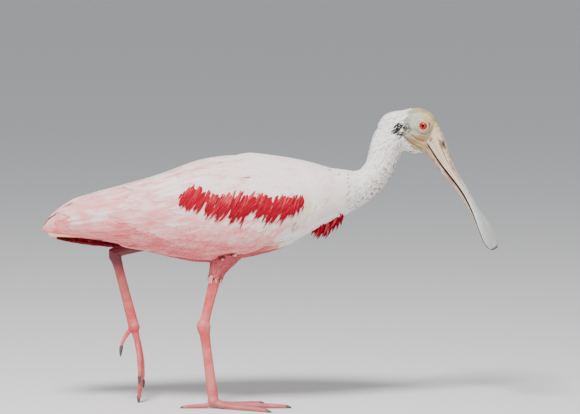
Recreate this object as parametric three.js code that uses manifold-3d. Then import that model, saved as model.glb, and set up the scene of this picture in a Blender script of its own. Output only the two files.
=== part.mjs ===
// A roseate spoonbill wading with its neck reached forward and its bill lowered, life size.
// Millimetres. +X is the way the bird faces, +Y its left side, +Z up, and the floor is z = 0.
import * as THREE from "three";
import { mergeVertices } from "three/addons/utils/BufferGeometryUtils.js";
import Module from "manifold-3d";

const wasm = await Module();
wasm.setup();

// Driving dimensions
const SHORTEST_EDGE = 0.02;
const SEAM = 0.3; // gap kept between touching pieces
const HEAD_TURN = 11; // degrees that the face turns towards the bird's right
const HEAD_ROLL = 10; // degrees that the crown leans to the right, about the bill's line
const HEAD_AT = new THREE.Vector3(177, 0, 350); // middle of the head
const EYE_RADIUS = 6.6;
const EYE_AT = new THREE.Vector3(19, 12.4, 4.8); // left eye, in the head's own frame
const RIGHT_HEEL = new THREE.Vector3(-84, -25, 104);
const LEFT_HEEL = new THREE.Vector3(-197, 25, 190);
const BACK = [[-286, 225], [-276, 240], [-251, 259], [-226, 268], [-188, 278], [-138, 292], [-88, 309.5],
  [-38, 315], [12, 310], [62, 301], [100, 296], [125, 292]];
const BELLY = [[-286, 224], [-273, 214], [-238, 206], [-200, 202], [-163, 197], [-113, 185], [-82, 181],
  [-50, 184], [0, 194], [24, 204], [50, 220], [75, 233], [100, 246], [125, 256]];
const HALF_WIDTH = [[-286, 3], [-260, 19], [-226, 33], [-188, 45], [-138, 56], [-88, 63], [-38, 64.5],
  [12, 59], [37, 52], [62, 40], [87, 28], [100, 24], [125, 18]];
const WING_LOW = [[-285, 223], [-253, 219], [-213, 215], [-196, 213], [-184, 204], [-163, 200], [-113, 194],
  [-63, 190.5], [-38, 196], [-13, 206], [12, 227], [37, 246], [46, 262]];
const WING_HIGH = [[-70, 400], [-62, 313], [-30, 311], [0, 304], [25, 294], [40, 284], [46, 274]];
const WING_FRONT = 46;
const WING_TIP = -284;
const VANE_THICK = 0.9;
const WINGS_MEET = -62; // behind this the two wings meet over the back
const TAIL_TIP = -281;
const TORSO_REAR = -192;
const TORSO_FRONT = 106;
const BODY_POWER = 2.25; // 2 is an ellipse, more is boxier

// Shared tools

// A smooth function through [x, value] points, flat past its ends.
function through(points) {
  const slope = (i) => {
    const a = points[Math.max(i - 1, 0)];
    const b = points[Math.min(i + 1, points.length - 1)];
    return (b[1] - a[1]) / (b[0] - a[0]);
  };
  return (x) => {
    if (x <= points[0][0]) return points[0][1];
    let i = 0;
    while (i < points.length - 1 && x > points[i + 1][0]) i++;
    if (i === points.length - 1) return points[i][1];
    const [[x0, y0], [x1, y1]] = [points[i], points[i + 1]];
    const w = x1 - x0;
    const t = (x - x0) / w;
    return (2 * t ** 3 - 3 * t ** 2 + 1) * y0 + (t ** 3 - 2 * t ** 2 + t) * w * slope(i) +
      (3 * t ** 2 - 2 * t ** 3) * y1 + (t ** 3 - t ** 2) * w * slope(i + 1);
  };
}

const ease = (low, high, x) => THREE.MathUtils.smoothstep(x, low, high);
const mix = THREE.MathUtils.lerp;
const radians = THREE.MathUtils.degToRad;

// A repeatable source of random numbers from 0 to 1.
function seeded(seed) {
  return () => {
    seed = (seed + 0x6d2b79f5) | 0;
    let t = Math.imul(seed ^ (seed >>> 15), 1 | seed);
    t = (t + Math.imul(t ^ (t >>> 7), 61 | t)) ^ t;
    return ((t ^ (t >>> 14)) >>> 0) / 4294967296;
  };
}

function geometryOf(points, triangles) {
  const made = new THREE.BufferGeometry().setFromPoints(points);
  made.setIndex(triangles.flat());
  return made;
}

// A closed skin over rings of points. place(t, angle) gives a point, and each end is a fan.
function loft(rings, around, place) {
  const points = [];
  for (let i = 0; i <= rings; i++) {
    for (let j = 0; j < around; j++) points.push(place(i / rings, (j / around) * 2 * Math.PI));
  }
  const triangles = [];
  for (let i = 0; i < rings; i++) {
    for (let j = 0; j < around; j++) {
      const [a, b] = [i * around + j, i * around + ((j + 1) % around)];
      triangles.push([a, b, b + around], [a, b + around, a + around]);
    }
  }
  const centre = (ring) => {
    const sum = new THREE.Vector3();
    for (let j = 0; j < around; j++) sum.add(points[ring * around + j]);
    return sum.divideScalar(around);
  };
  const ends = [centre(0), centre(rings)];
  points.push(...ends);
  for (let j = 0; j < around; j++) {
    const next = (j + 1) % around;
    triangles.push([points.length - 2, next, j]);
    triangles.push([points.length - 1, rings * around + j, rings * around + next]);
  }
  return geometryOf(points, triangles);
}

// A closed sheet with two faces over one grid, split alike. place(u, v, face): face 0 is inner, 1 outer.
function sheet(columns, rows, place) {
  const points = [];
  for (const face of [0, 1]) {
    for (let i = 0; i <= columns; i++) {
      for (let j = 0; j <= rows; j++) points.push(place(i / columns, j / rows, face));
    }
  }
  const at = (i, j, face) => face * (columns + 1) * (rows + 1) + i * (rows + 1) + j;
  const triangles = [];
  for (let i = 0; i < columns; i++) {
    for (let j = 0; j < rows; j++) {
      const quad = (f) => [at(i, j, f), at(i + 1, j, f), at(i + 1, j + 1, f), at(i, j + 1, f)];
      const [a, b, c, d] = quad(1);
      const [e, f, g, h] = quad(0);
      triangles.push([a, b, c], [a, c, d], [e, g, f], [e, h, g]);
    }
  }
  const rim = (a, b) => {
    const [a0, b0, a1, b1] = [at(...a, 0), at(...b, 0), at(...a, 1), at(...b, 1)];
    triangles.push([a0, b0, b1], [a0, b1, a1]);
  };
  for (let i = 0; i < columns; i++) {
    rim([i, 0], [i + 1, 0]);
    rim([i + 1, rows], [i, rows]);
  }
  for (let j = 0; j < rows; j++) {
    rim([0, j + 1], [0, j]);
    rim([columns, j], [columns, j + 1]);
  }
  return geometryOf(points, triangles);
}

// A closed geometry as a manifold solid, turned the right way out.
function solid(geometry) {
  const bare = geometry.index ? geometry.toNonIndexed() : geometry.clone();
  bare.deleteAttribute("normal");
  bare.deleteAttribute("uv");
  const merged = mergeVertices(bare, 1e-3);
  const make = (triVerts) => new wasm.Manifold(
    new wasm.Mesh({ numProp: 3, vertProperties: merged.attributes.position.array, triVerts }),
  );
  const triVerts = new Uint32Array(merged.index.array);
  const first = make(triVerts);
  if (first.volume() > 0) return first;
  for (let i = 0; i < triVerts.length; i += 3) {
    [triVerts[i], triVerts[i + 1]] = [triVerts[i + 1], triVerts[i]];
  }
  return make(triVerts);
}

const join = (parts) => parts.reduce((sum, part) => sum.add(part));

const largest = (manifold) => manifold.decompose().reduce((a, b) => (b.volume() > a.volume() ? b : a));

// The largest body of a solid as a geometry, with the very short edges that the unions leave closed up.
function geometryFrom(manifold) {
  const mesh = largest(manifold).getMesh();
  const made = new THREE.BufferGeometry();
  made.setAttribute("position", new THREE.BufferAttribute(new Float32Array(mesh.vertProperties), 3));
  made.setIndex(new THREE.BufferAttribute(mesh.triVerts, 1));
  const merged = mergeVertices(made, SHORTEST_EDGE);
  const index = merged.index.array;
  const kept = [];
  for (let i = 0; i < index.length; i += 3) {
    const [a, b, c] = index.slice(i, i + 3);
    if (a !== b && b !== c && c !== a) kept.push(a, b, c);
  }
  merged.setIndex(kept);
  return merged;
}

const moved = (geometry, matrix) => geometry.clone().applyMatrix4(matrix);
const mirrored = (geometry) => moved(geometry, new THREE.Matrix4().makeScale(1, -1, 1));

// A tapering limb along points, with a width and a depth at each, grown by a margin.
function limb(points, halfDepths, halfWidths, rings, around, grow = 0) {
  const line = new THREE.CatmullRomCurve3(points, false, "centripetal");
  const depth = through(halfDepths.map((v, i) => [i / (halfDepths.length - 1), v]));
  const width = through(halfWidths.map((v, i) => [i / (halfWidths.length - 1), v]));
  const sideways = new THREE.Vector3(0, 1, 0);
  return loft(rings, around, (t, angle) => {
    const ahead = line.getTangent(t);
    const across = sideways.clone().addScaledVector(ahead, -ahead.y).normalize();
    const up = new THREE.Vector3().crossVectors(ahead, across);
    return line.getPoint(t)
      .addScaledVector(up, (depth(t) + grow) * Math.cos(angle))
      .addScaledVector(across, (width(t) + grow) * Math.sin(angle));
  });
}

// Torso and the surface over the folded wings

const back = through(BACK);
const belly = through(BELLY);
const halfWidth = through(HALF_WIDTH);
const wingLow = through(WING_LOW);
const wingHigh = through(WING_HIGH);

// How far the torso lies inside the wings' surface: over the back, and at the sides.
const backInset = (x) => mix(mix(10, 5, ease(-200, -284, x)), 0, ease(-70, -25, x));
const sideInset = (x) => mix(mix(11, 5, ease(-200, -284, x)), 0, ease(20, 66, x));

// A point of the body's cross-section at x. Angle 0 is the back, a quarter turn the bird's right side.
function bodyPoint(x, angle, inset, grow = 0) {
  const top = back(x) - inset * backInset(x) + grow;
  const low = belly(x) - grow;
  const wide = halfWidth(x) - inset * Math.min(sideInset(x), 0.5 * halfWidth(x)) + grow;
  const middle = mix(low, top, 0.52);
  const [s, c] = [Math.sin(angle), Math.cos(angle)];
  const round = (v) => Math.sign(v) * Math.abs(v) ** (2 / BODY_POWER);
  return new THREE.Vector3(x, -wide * round(s), middle + (c > 0 ? top - middle : middle - low) * round(c));
}

// The angle at which the wings' surface has a height z.
function angleAt(x, z) {
  const [top, low] = [back(x), belly(x)];
  const middle = mix(low, top, 0.52);
  const reach = z > middle ? top - middle : middle - low;
  const part = THREE.MathUtils.clamp((z - middle) / reach, -1, 1);
  return Math.acos(Math.sign(part) * Math.abs(part) ** (BODY_POWER / 2));
}

// A point on the wings' surface, with its outward normal and the lengths of its two steps.
function wingSurface(x, angle) {
  const at = bodyPoint(x, angle, 0);
  const alongX = bodyPoint(x + 0.5, angle, 0).sub(bodyPoint(x - 0.5, angle, 0));
  const down = bodyPoint(x, angle + 0.01, 0).sub(bodyPoint(x, angle - 0.01, 0)).divideScalar(0.02);
  const normal = new THREE.Vector3().crossVectors(down, alongX).normalize();
  return { at, normal, perX: alongX.length(), perAngle: Math.max(down.length(), 1) };
}


function torsoShape(grow = 0) {
  return loft(24, 22, (t, angle) => {
    const x = mix(TORSO_REAR - grow, TORSO_FRONT, t);
    const close = Math.sqrt(1 - (1 - ease(0, 0.13, t)) ** 2 * 0.93);
    const middle = new THREE.Vector3(x, 0, mix(belly(x), back(x), 0.38));
    return bodyPoint(x, angle, 1, grow).sub(middle).multiplyScalar(close).add(middle);
  });
}

// Neck and head, modelled whole and parted with thin cuts

const NECK_LINE = [[66, 0, 262], [88, 0, 267], [106, -0.5, 273], [122, -1, 283], [133.5, -1.5, 296.5],
  [139.5, -0.5, 311], [144, 1, 325], [152, 3, 339]].map((p) => new THREE.Vector3(...p));
const NECK_HALF_DEPTH = [31, 27, 22, 18.6, 18.2, 18.4, 20, 22];
const NECK_HALF_WIDTH = [26, 24, 20.5, 17.5, 16.5, 16.5, 17.5, 19];
const NECK_CUTS = [0.4, 0.62, 0.88]; // places of the cuts, as shares of the neck's line

const headFrame = new THREE.Matrix4().makeTranslation(HEAD_AT.x, HEAD_AT.y, HEAD_AT.z)
  .multiply(new THREE.Matrix4().makeRotationZ(radians(-HEAD_TURN)))
  .multiply(new THREE.Matrix4().makeRotationAxis(new THREE.Vector3(0.486, 0, -0.874), radians(HEAD_ROLL)));

// The masses of the head, each a centre and three half sizes: skull, nape, lore, jaw and throat.
const HEAD_MASSES = [
  [[6, 0, -1], [28, 19.5, 27]],
  [[-21, 0, -4], [25, 19.5, 24]],
  [[21, 0, -14], [15, 12.5, 17]],
  [[6, 0, -20], [19, 14, 12]],
];

// The head as a ball whose every point is pushed out to the blended surface of its masses.
function headShape(grow = 0) {
  const ball = new THREE.SphereGeometry(1, 24, 16);
  const place = ball.attributes.position;
  const heart = new THREE.Vector3(-1, 0, -5);
  const field = (p) => {
    let sum = 0;
    for (const [c, r] of HEAD_MASSES) {
      const far = Math.hypot((p.x - c[0]) / r[0], (p.y - c[1]) / r[1], (p.z - c[2]) / r[2]);
      sum += Math.exp(-9 * (far - 1));
    }
    return sum - 1;
  };
  for (let i = 0; i < place.count; i++) {
    const way = new THREE.Vector3().fromBufferAttribute(place, i).normalize();
    let [near, far] = [0, 80];
    for (let k = 0; k < 24; k++) {
      const half = (near + far) / 2;
      if (field(heart.clone().addScaledVector(way, half)) > 0) near = half;
      else far = half;
    }
    place.setXYZ(i, ...heart.clone().addScaledVector(way, near + grow));
  }
  return ball;
}

// Bill: the line where the mandibles meet, from inside the face to the tip, in the head's own frame

const BILL_LINE = new THREE.CatmullRomCurve3(
  [[14, -6], [24.8, -21.3], [38.8, -43.8], [64.3, -77.5], [78.8, -101.9], [91.7, -123.8], [98, -137],
    [104.4, -150]]
    .map(([x, z]) => new THREE.Vector3(x, 0, z)), false, "centripetal");
const BILL_HALF_WIDTH = through([[0, 13], [0.12, 12.5], [0.25, 10], [0.42, 7.8], [0.58, 8], [0.68, 11],
  [0.76, 17.5],  [0.83, 23.5], [0.89, 26], [0.94, 25], [0.975, 19.5], [1, 9]]);
const UPPER_HEIGHT = through([[0, 21], [0.12, 17.5], [0.25, 11.5], [0.38, 6.6], [0.5, 4.6], [0.7, 3.4],
  [0.9, 3], [1, 2]]);
const LOWER_DEPTH = through([[0, 13], [0.12, 10.5], [0.25, 8.4], [0.42, 6.8], [0.6, 5], [0.75, 3.4],
  [0.9, 2.6], [1, 1.6]]);
// Half of the gap between the mandibles
const MOUTH_GAP = through([[0, 0.15], [0.15, 0.3], [0.35, 0.8], [0.6, 0.7], [0.8, 0.3], [1, 0.2]]);

// One mandible: a flat palate against the other, and a rounded ridge away from it. Sign is 1 above.
function mandible(sign, height) {
  const rings = 14;
  const around = 9;
  return loft(rings, around, (t, angle) => {
    const s = 1 - (1 - t) ** 1.15;
    const ahead = BILL_LINE.getTangentAt(s);
    const out = new THREE.Vector3(-ahead.z, 0, ahead.x).multiplyScalar(sign);
    const wide = BILL_HALF_WIDTH(s) - (sign < 0 ? 0.8 : 0);
    const [c, q] = [Math.cos(angle), Math.sin(angle)];
    const rise = q > 0 ? height(s) * q ** 0.9 * (0.75 + 0.25 * q) : 0;
    return BILL_LINE.getPointAt(s)
      .add(new THREE.Vector3(0, wide * Math.sign(c) * Math.abs(c) ** (q > 0 ? 0.8 : 1), 0))
      .addScaledVector(out, MOUTH_GAP(s) + 0.25 + rise - (q < 0 ? 0.25 * -q : 0));
  });
}

// The line of the mouth, a thin gap between the mandibles.
function mouth() {
  return sheet(20, 1, (u, v, face) => {
    const s = mix(0.095, 1, u);
    const ahead = BILL_LINE.getTangentAt(s);
    const out = new THREE.Vector3(-ahead.z, 0, ahead.x);
    return BILL_LINE.getPointAt(s).add(new THREE.Vector3(0, (v - 0.5) * 70, 0))
      .addScaledVector(ahead, u === 1 ? 2 : 0)
      .addScaledVector(out, (face ? 1 : -1) * MOUTH_GAP(s));
  });
}

// A thin round cutter that parts one piece from the next.
function cutter(radius, at, along) {
  const disc = new THREE.CylinderGeometry(radius, radius, SEAM, 32);
  const axis = new THREE.Vector3(0, 1, 0);
  const turn = new THREE.Quaternion().setFromUnitVectors(axis, along.clone().normalize());
  return solid(disc.applyQuaternion(turn).translate(at.x, at.y, at.z));
}

// The piece of a parted solid whose middle is nearest to a point.
function pieceNear(pieces, point) {
  const far = (piece) => {
    const { min, max } = piece.boundingBox();
    return Math.hypot(...point.map((v, i) => v - (min[i] + max[i]) / 2));
  };
  return pieces.reduce((a, b) => (far(b) < far(a) ? b : a));
}

function eyeShape(side, grow = 0) {
  const ball = new THREE.SphereGeometry(EYE_RADIUS + grow, 12, 8);
  ball.rotateX(Math.PI / 2);
  return ball.translate(EYE_AT.x, EYE_AT.y * side, EYE_AT.z);
}

// The ring of bare skin round an eye, as two lids that follow the eyeball.
function lidsShape(side) {
  const ring = new THREE.TorusGeometry(6.1, 1.5, 5, 14).rotateX(Math.PI / 2);
  return ring.rotateZ(radians(side * -12)).translate(EYE_AT.x + 0.6, side * (EYE_AT.y + 4.2), EYE_AT.z);
}

// The ear opening, a short slanting pit behind the eye.
function earPit(side) {
  const pit = new THREE.SphereGeometry(1, 8, 6).scale(3.4, 5, 1.3).rotateY(radians(50));
  return pit.translate(-5.5, side * 20.5, 0);
}

// The nostril, a narrow slit beside the ridge of the upper mandible.
function nostril(side) {
  const slit = new THREE.SphereGeometry(1, 8, 6).scale(4.6, 1.1, 1.3).rotateY(radians(62));
  return slit.translate(40.5, side * 5.2, -19.5);
}

const BILL_BASE = new THREE.Vector3(24.8, 0, -21.3);
const BILL_BASE_WAY = new THREE.Vector3(0.917, 0, -0.4);

function headParts() {
  let face = join([solid(headShape()), solid(lidsShape(1)), solid(lidsShape(-1))]);
  face = join([face, solid(mandible(1, UPPER_HEIGHT)), solid(mandible(-1, LOWER_DEPTH))]);
  for (const side of [1, -1]) {
    const hollows = [eyeShape(side, SEAM), earPit(side), nostril(side)];
    for (const hollow of hollows) face = face.subtract(solid(hollow));
  }
  const parted = face.subtract(cutter(40, BILL_BASE, BILL_BASE_WAY)).subtract(solid(mouth())).decompose();
  return {
    skull: pieceNear(parted, [0, 0, 0]),
    upper: pieceNear(parted, [72, 0, -70]),
    lower: pieceNear(parted, [55, 0, -92]),
  };
}


// Wings: a core layer over the torso and the tail's root, and its feathers in tiers

const CORE_HEIGHT = 0.3; // of the way from the torso to the feathers' outer surface

// A point between the torso, at share 0, and the feathers' outer surface, at share 1, moved out by an offset.
function wingPoint(x, angle, share, offset) {
  const under = bodyPoint(x, angle, 1);
  const { at, normal } = wingSurface(x, angle);
  const room = Math.max(at.sub(under).dot(normal), 3.5);
  const point = under.addScaledVector(normal, mix(1.3, room, share) + offset);
  point.y = Math.min(point.y, -SEAM / 2);
  return point;
}

function wingShell(height = 1, grow = 0) {
  return sheet(13, 7, (u, v, face) => {
    const x = mix(WING_FRONT + grow, WING_TIP - grow, u);
    const high = x < WINGS_MEET ? 0.006 : angleAt(x, wingHigh(x));
    const angle = mix(high, angleAt(x, wingLow(x) - grow), v);
    return face ? wingPoint(x, angle, height, grow) : wingPoint(x, angle, 0, -grow);
  });
}

// A vane on the wing from its root. Heading 0 is straight back and 90 is down. Lifts are above the surface.
function wingVane(vane) {
  const { x, angle, heading, bend = 0, length, width, root, tip, tilt } = vane;
  const { columns = 4, rows = 1, point = 0.45 } = vane;
  const spine = [];
  let [atX, atAngle] = [x, angle];
  for (let i = 0; i <= columns; i++) {
    const way = radians(heading + (bend * i) / columns);
    const { perX, perAngle } = wingSurface(atX, atAngle);
    spine.push({ atX, atAngle, way, perX, perAngle });
    atX -= (Math.cos(way) * length) / columns / perX;
    atAngle += (Math.sin(way) * length) / columns / perAngle;
  }
  return sheet(columns, rows, (u, v, face) => {
    const bone = spine[Math.round(u * columns)];
    const swell = u < 0.55 ? mix(0.62, 1, ease(0, 0.55, u)) : mix(1, point, ease(0.55, 1, u) ** 1.6);
    const off = (v - 0.5) * width * swell;
    const x2 = Math.max(bone.atX + (Math.sin(bone.way) * off) / bone.perX, WING_TIP);
    const angle2 = THREE.MathUtils.clamp(bone.atAngle + (Math.cos(bone.way) * off) / bone.perAngle,
      0.012 * (1 + tip) + 0.05 * v, angleAt(x2, wingLow(x2)) - 0.07 * tip - 0.08 * (1 - v));
    const lift = mix(root, tip, ease(0, 0.7, u)) + tilt * (v - 0.5) * ease(0, 0.3, u);
    return wingPoint(x2, angle2, lift, face ? 0 : -VANE_THICK);
  });
}

// A row of vanes from its first to its last, every value eased between the two ends.
function vaneRow(random, count, first, last, shared) {
  const vary = (size) => (random() - 0.5) * size;
  return Array.from({ length: count }, (_, i) => {
    const t = count > 1 ? i / (count - 1) : 0;
    const [x, z, heading, length] = first.map((v, k) => mix(v, last[k], t));
    const spread = shared.spread ?? 0;
    return wingVane({ ...shared, x, angle: angleAt(x, z), heading: heading + vary(spread),
      length: length * (1 + vary(spread / 60)), tip: shared.tip + 0.012 * i });
  });
}

// Rows are [x, z, heading, length] at both ends. Those that lie lowest come first.
function wingFeathers() {
  const random = seeded(7);
  const primaries = Array.from({ length: 5 }, (_, i) => {
    const x = -116 - 3 * i;
    const reach = WING_TIP + 2 + 10 * i;
    return wingVane({ x, angle: angleAt(x, wingLow(x)) - 0.1 - 0.2 * i, heading: 0, length: x - reach,
      width: 13, root: 0.12, tip: 0.46 + 0.017 * i, tilt: 0.26, columns: 3 });
  });
  return [
    ...primaries,
    ...vaneRow(random, 5, [-52, 220, 17, 92], [-130, 246, 6, 112],
      { width: 15, root: 0.14, tip: 0.68, tilt: 0.26, columns: 3 }),
    ...vaneRow(random, 4, [-92, 266, 2, 148], [-84, 303, 1, 168],
      { width: 23, root: 0.14, tip: 0.8, tilt: -0.27, point: 0.5 }),
    ...vaneRow(random, 5, [8, 236, 34, 60], [-96, 262, 10, 84],
      { width: 17, root: 0.16, tip: 0.9, tilt: 0.24, columns: 2 }),
    ...vaneRow(random, 3, [4, 286, 6, 100], [-34, 307, 2, 112],
      { width: 20, root: 0.16, tip: 1, tilt: -0.26, columns: 3, point: 0.4 }),
    ...vaneRow(random, 9, [37, 264, 62, 30], [-102, 275, 52, 30],
      { width: 7, root: 0.2, tip: 1.15, tilt: 0.05, columns: 1, point: 0.2, spread: 12 }),
  ];
}

// Tail: a core that fills the space between the wings' ends, and its undertail coverts

const tailFloor = through([[-270, 216.5], [-240, 213.5], [-215, 212], [-192, 212]]);

function tailCore() {
  return loft(10, 14, (t, angle) => {
    const x = mix(TORSO_REAR - SEAM, -262, t);
    const shrink = mix(1, 0.3, t * t);
    const point = bodyPoint(x, angle, 1, -0.6);
    point.y *= mix(1, 0.9, t);
    const low = tailFloor(x);
    return new THREE.Vector3(x, point.y, Math.max(mix(low, point.z, point.z > low ? shrink : 1), low));
  });
}

function undertail() {
  return loft(8, 12, (t, angle) => {
    const x = mix(TORSO_REAR - SEAM, -256, t);
    const point = bodyPoint(x, angle, 1);
    const high = tailFloor(x) - SEAM;
    return new THREE.Vector3(x, point.y * mix(0.95, 0.5, t * t), Math.min(point.z, high));
  });
}

// The tail feathers, closed like a fan, the middle one on top.
function tailFeathers() {
  return [-3, -2, -1, 0, 1, 2, 3].map((k) => sheet(2, 1, (u, v, face) => {
    const x = mix(-212, TAIL_TIP + Math.abs(k), u);
    const width = mix(9, 14, u) * (u === 1 ? 0.6 : 1);
    const y = k * mix(4, 7, u) + (v - 0.5) * width;
    const z = tailFloor(x) + 2.6 - 1.15 * Math.abs(k) + (v - 0.5) * Math.sign(k) * -0.8;
    return new THREE.Vector3(x, y, z - (face ? 0 : 0.8) + 2.5 * u * u);
  }));
}

// A hanging or trailing lock from its root, through a bend, to a thin tip.
function lock(root, middle, tip, width) {
  const line = new THREE.CatmullRomCurve3([root, middle, tip]);
  return loft(3, 4, (t, angle) => {
    const size = Math.max(width * (1 - t * t), 0.35);
    return line.getPoint(t).add(new THREE.Vector3(0.5 * size * Math.cos(angle), size * Math.sin(angle), 0));
  });
}

// The short coverts under the tail, in two overlapping tiers.
function undertailFeathers() {
  return [[-206, 3], [-228, 2]].flatMap(([x, count], tier) => Array.from({ length: count }, (_, i) => {
    const y = (i - (count - 1) / 2) * 15;
    const z = belly(x) + 2.2 + (y * y) / 60;
    return sheet(2, 1, (u, v, face) => new THREE.Vector3(x - 36 * u, y + (v - 0.5) * 14 * mix(1, 0.5, u * u),
      mix(z, belly(x - 36 * u) - 0.5 - tier, Math.min(1, 1.6 * u)) + (y * y) / 70 + (face ? 0.9 : 0)));
  }));
}

const TUFT_AT = new THREE.Vector3(72, -4, 234);

// The tuft of long loose plumes on the breast, with a low root pad on the skin.
function breastTuft() {
  const random = seeded(3);
  const pad = new THREE.SphereGeometry(1, 12, 8).scale(19, 12, 4.5).rotateY(radians(-28))
    .translate(TUFT_AT.x, TUFT_AT.y, TUFT_AT.z);
  const plumes = Array.from({ length: 12 }, (_, i) => {
    const along = (i % 6) / 5 - 0.5;
    const x = TUFT_AT.x + 30 * along;
    const y = TUFT_AT.y + (i < 6 ? -5 : 5) + 3 * (random() - 0.5);
    const root = new THREE.Vector3(x, y, belly(x) + 2);
    const drop = 17 + 7 * random() - 6 * Math.abs(along);
    return lock(root, new THREE.Vector3(x + 1.5, y + (y + 4) * 0.2, root.z - drop * 0.6),
      new THREE.Vector3(x - 3 - 5 * random(), y + (y + 4) * 0.3, root.z - drop), 2.6);
  });
  return join([solid(pad), ...plumes.map(solid)]);
}

// Legs and feet

const RIGHT_TOE_JOINT = new THREE.Vector3(-72, -24, 9);
const LEFT_TOE_JOINT = new THREE.Vector3(-173, 23, 96);
const SHANK = [7.6, 6.4, 6.2, 9.2, 6.4, 6.2, 7]; // half depths from the feathers to the toe joint

// Each toe: heading in degrees to the outer side, length, and half thickness at the root.
const TOES = [
  { heading: 0, length: 96, thick: 4.6 },
  { heading: 27, length: 80, thick: 4.2 },
  { heading: -30, length: 72, thick: 4 },
  { heading: 178, length: 40, thick: 3.6 },
];

// The middle line of a toe on the floor.
function restingToe(side, { heading, length, thick }) {
  const way = new THREE.Vector3(Math.cos(radians(heading)), side * Math.sin(radians(heading)), 0);
  const along = (share, z) => RIGHT_TOE_JOINT.clone().setZ(0).addScaledVector(way, length * share).setZ(z);
  return new THREE.CatmullRomCurve3([along(0, 8.5), along(0.14, thick * 1.05), along(0.4, thick * 0.8),
    along(0.75, thick * 0.62), along(0.92, thick * 0.42), along(1, 0.6)]);
}

function toe(line, thick) {
  const slim = through([[0, 1.3], [0.12, 1.05], [0.5, 0.86], [0.85, 0.66], [0.9, 0.5], [1, 0.16]]);
  return loft(6, 6, (t, angle) => {
    const ahead = line.getTangent(t);
    const across = new THREE.Vector3(-ahead.y, ahead.x, 0);
    if (across.length() < 0.3) across.set(0, 1, 0);
    across.normalize();
    const up = new THREE.Vector3().crossVectors(ahead, across);
    const size = thick * slim(t);
    const point = line.getPoint(t).addScaledVector(across, size * Math.cos(angle));
    point.addScaledVector(up, size * Math.sin(angle));
    return point.setZ(Math.max(point.z, 0));
  });
}

function legPieces(hip, depths, widths, feathered, heel, joint, toeLines) {
  const shaft = [feathered, feathered.clone().lerp(heel, 0.5), heel.clone().lerp(feathered, 0.12), heel,
    heel.clone().lerp(joint, 0.14), heel.clone().lerp(joint, 0.5), joint];
  const parts = [
    solid(limb(shaft, SHANK, SHANK.map((v) => v * 0.74), 14, 8)),
    solid(limb(hip, depths, widths, 7, 12)),
    solid(new THREE.SphereGeometry(7.6, 10, 6).translate(joint.x, joint.y, joint.z)),
    ...toeLines.map((line, i) => solid(toe(line, TOES[i].thick))),
  ];
  return join(parts);
}

const rightLine = TOES.map((one) => restingToe(-1, one));

// The middle line of a toe that hangs from the lifted foot and just meets the floor.
function hangingToe(ends) {
  return new THREE.CatmullRomCurve3([LEFT_TOE_JOINT.clone(), ...ends.map((p) => new THREE.Vector3(...p))]);
}

const leftLine = [
  hangingToe([[-168, 23, 74], [-165, 23, 40], [-166.5, 23, 12], [-167.5, 23, 0.2]]),
  hangingToe([[-168, 27, 78], [-163, 32, 50], [-162, 34, 19]]),
  hangingToe([[-169, 19, 78], [-166, 14, 56], [-166, 12.5, 27]]),
  hangingToe([[-180, 23, 90], [-188, 23, 76], [-190, 23, 60]]),
];

const body = join([
  solid(torsoShape()),
  solid(limb(NECK_LINE, NECK_HALF_DEPTH, NECK_HALF_WIDTH, 16, 16)),
]);

function parted(whole, line, places, radius) {
  const curve = new THREE.CatmullRomCurve3(line, false, "centripetal");
  const cuts = places.map((at) => cutter(radius, curve.getPointAt(at), curve.getTangentAt(at)));
  return cuts.reduce((left, cut) => left.subtract(cut), whole);
}

const group = new THREE.Group();

function add(name, shape, color, roughness = 0.8) {
  const material = new THREE.MeshStandardMaterial({ color, roughness, metalness: 0 });
  const mesh = new THREE.Mesh(geometryFrom(shape), material);
  mesh.name = name;
  group.add(mesh);
}

const WHITE = 0xf7f1ee;
const PINK = 0xf4c6c6;
const LEG_RED = 0xe0707a;

// Head and bill
const face = headParts();
const placed = (shape) => shape.transform(headFrame.elements);
const head = placed(face.skull);
add("upper_bill", placed(face.upper), 0xc9cbbd, 0.45);
add("lower_bill", placed(face.lower), 0xbfb59a, 0.45);
add("eye_left", placed(solid(eyeShape(1))), 0xc01818, 0.08);
add("eye_right", placed(solid(eyeShape(-1))), 0xc01818, 0.08);

// Neck lengths and torso, parted from one skin
const trunk = parted(body.subtract(placed(solid(headShape(SEAM)))), NECK_LINE, NECK_CUTS, 60).decompose();
add("head", head, 0xe4ddc8);
add("neck_upper", pieceNear(trunk, [143, 0, 325]), WHITE);
add("neck_middle", pieceNear(trunk, [137, 0, 303]), WHITE);
add("neck_lower", pieceNear(trunk, [122, 0, 280]), WHITE);
const torso = pieceNear(trunk, [-40, 0, 248]);
add("torso", torso, WHITE);

// Wings, tail and the coverts under it
const bodyMargin = join([
  solid(torsoShape(SEAM)),
  solid(limb(NECK_LINE, NECK_HALF_DEPTH, NECK_HALF_WIDTH, 16, 16, SEAM)),
]);
const feathers = wingFeathers();
const wing = join([solid(wingShell(CORE_HEIGHT)), ...feathers.map(solid)]).subtract(bodyMargin);
const otherWing = solid(mirrored(geometryFrom(wing)));
add("wing_right", wing, PINK);
add("wing_left", otherWing, PINK);
const nudges = [[0, 0, -1], [0, 0, 1], [0, -1, 0], [0, 1, 0]].map((way) => way.map((v) => v * 1.2 * SEAM));
const wingMargin = join([
  solid(wingShell(1, 2 * SEAM)),
  solid(mirrored(wingShell(1, 2 * SEAM))),
  ...nudges.flatMap((way) => [wing.translate(way), otherWing.translate(way)]),
]);
const tail = join([solid(tailCore()), ...tailFeathers().map(solid)]).subtract(wingMargin);
add("tail", tail, 0xe8a58a);
const vent = join([solid(undertail()), ...undertailFeathers().map(solid)]).subtract(wingMargin);
const tailMargin = join([solid(tailCore()), ...tailFeathers().map(solid)]).translate(0, 0, -SEAM);
add("undertail_coverts", vent.subtract(tail).subtract(tailMargin), 0xc8102e);
add("breast_tuft", breastTuft().subtract(bodyMargin), 0xe03048);

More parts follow.
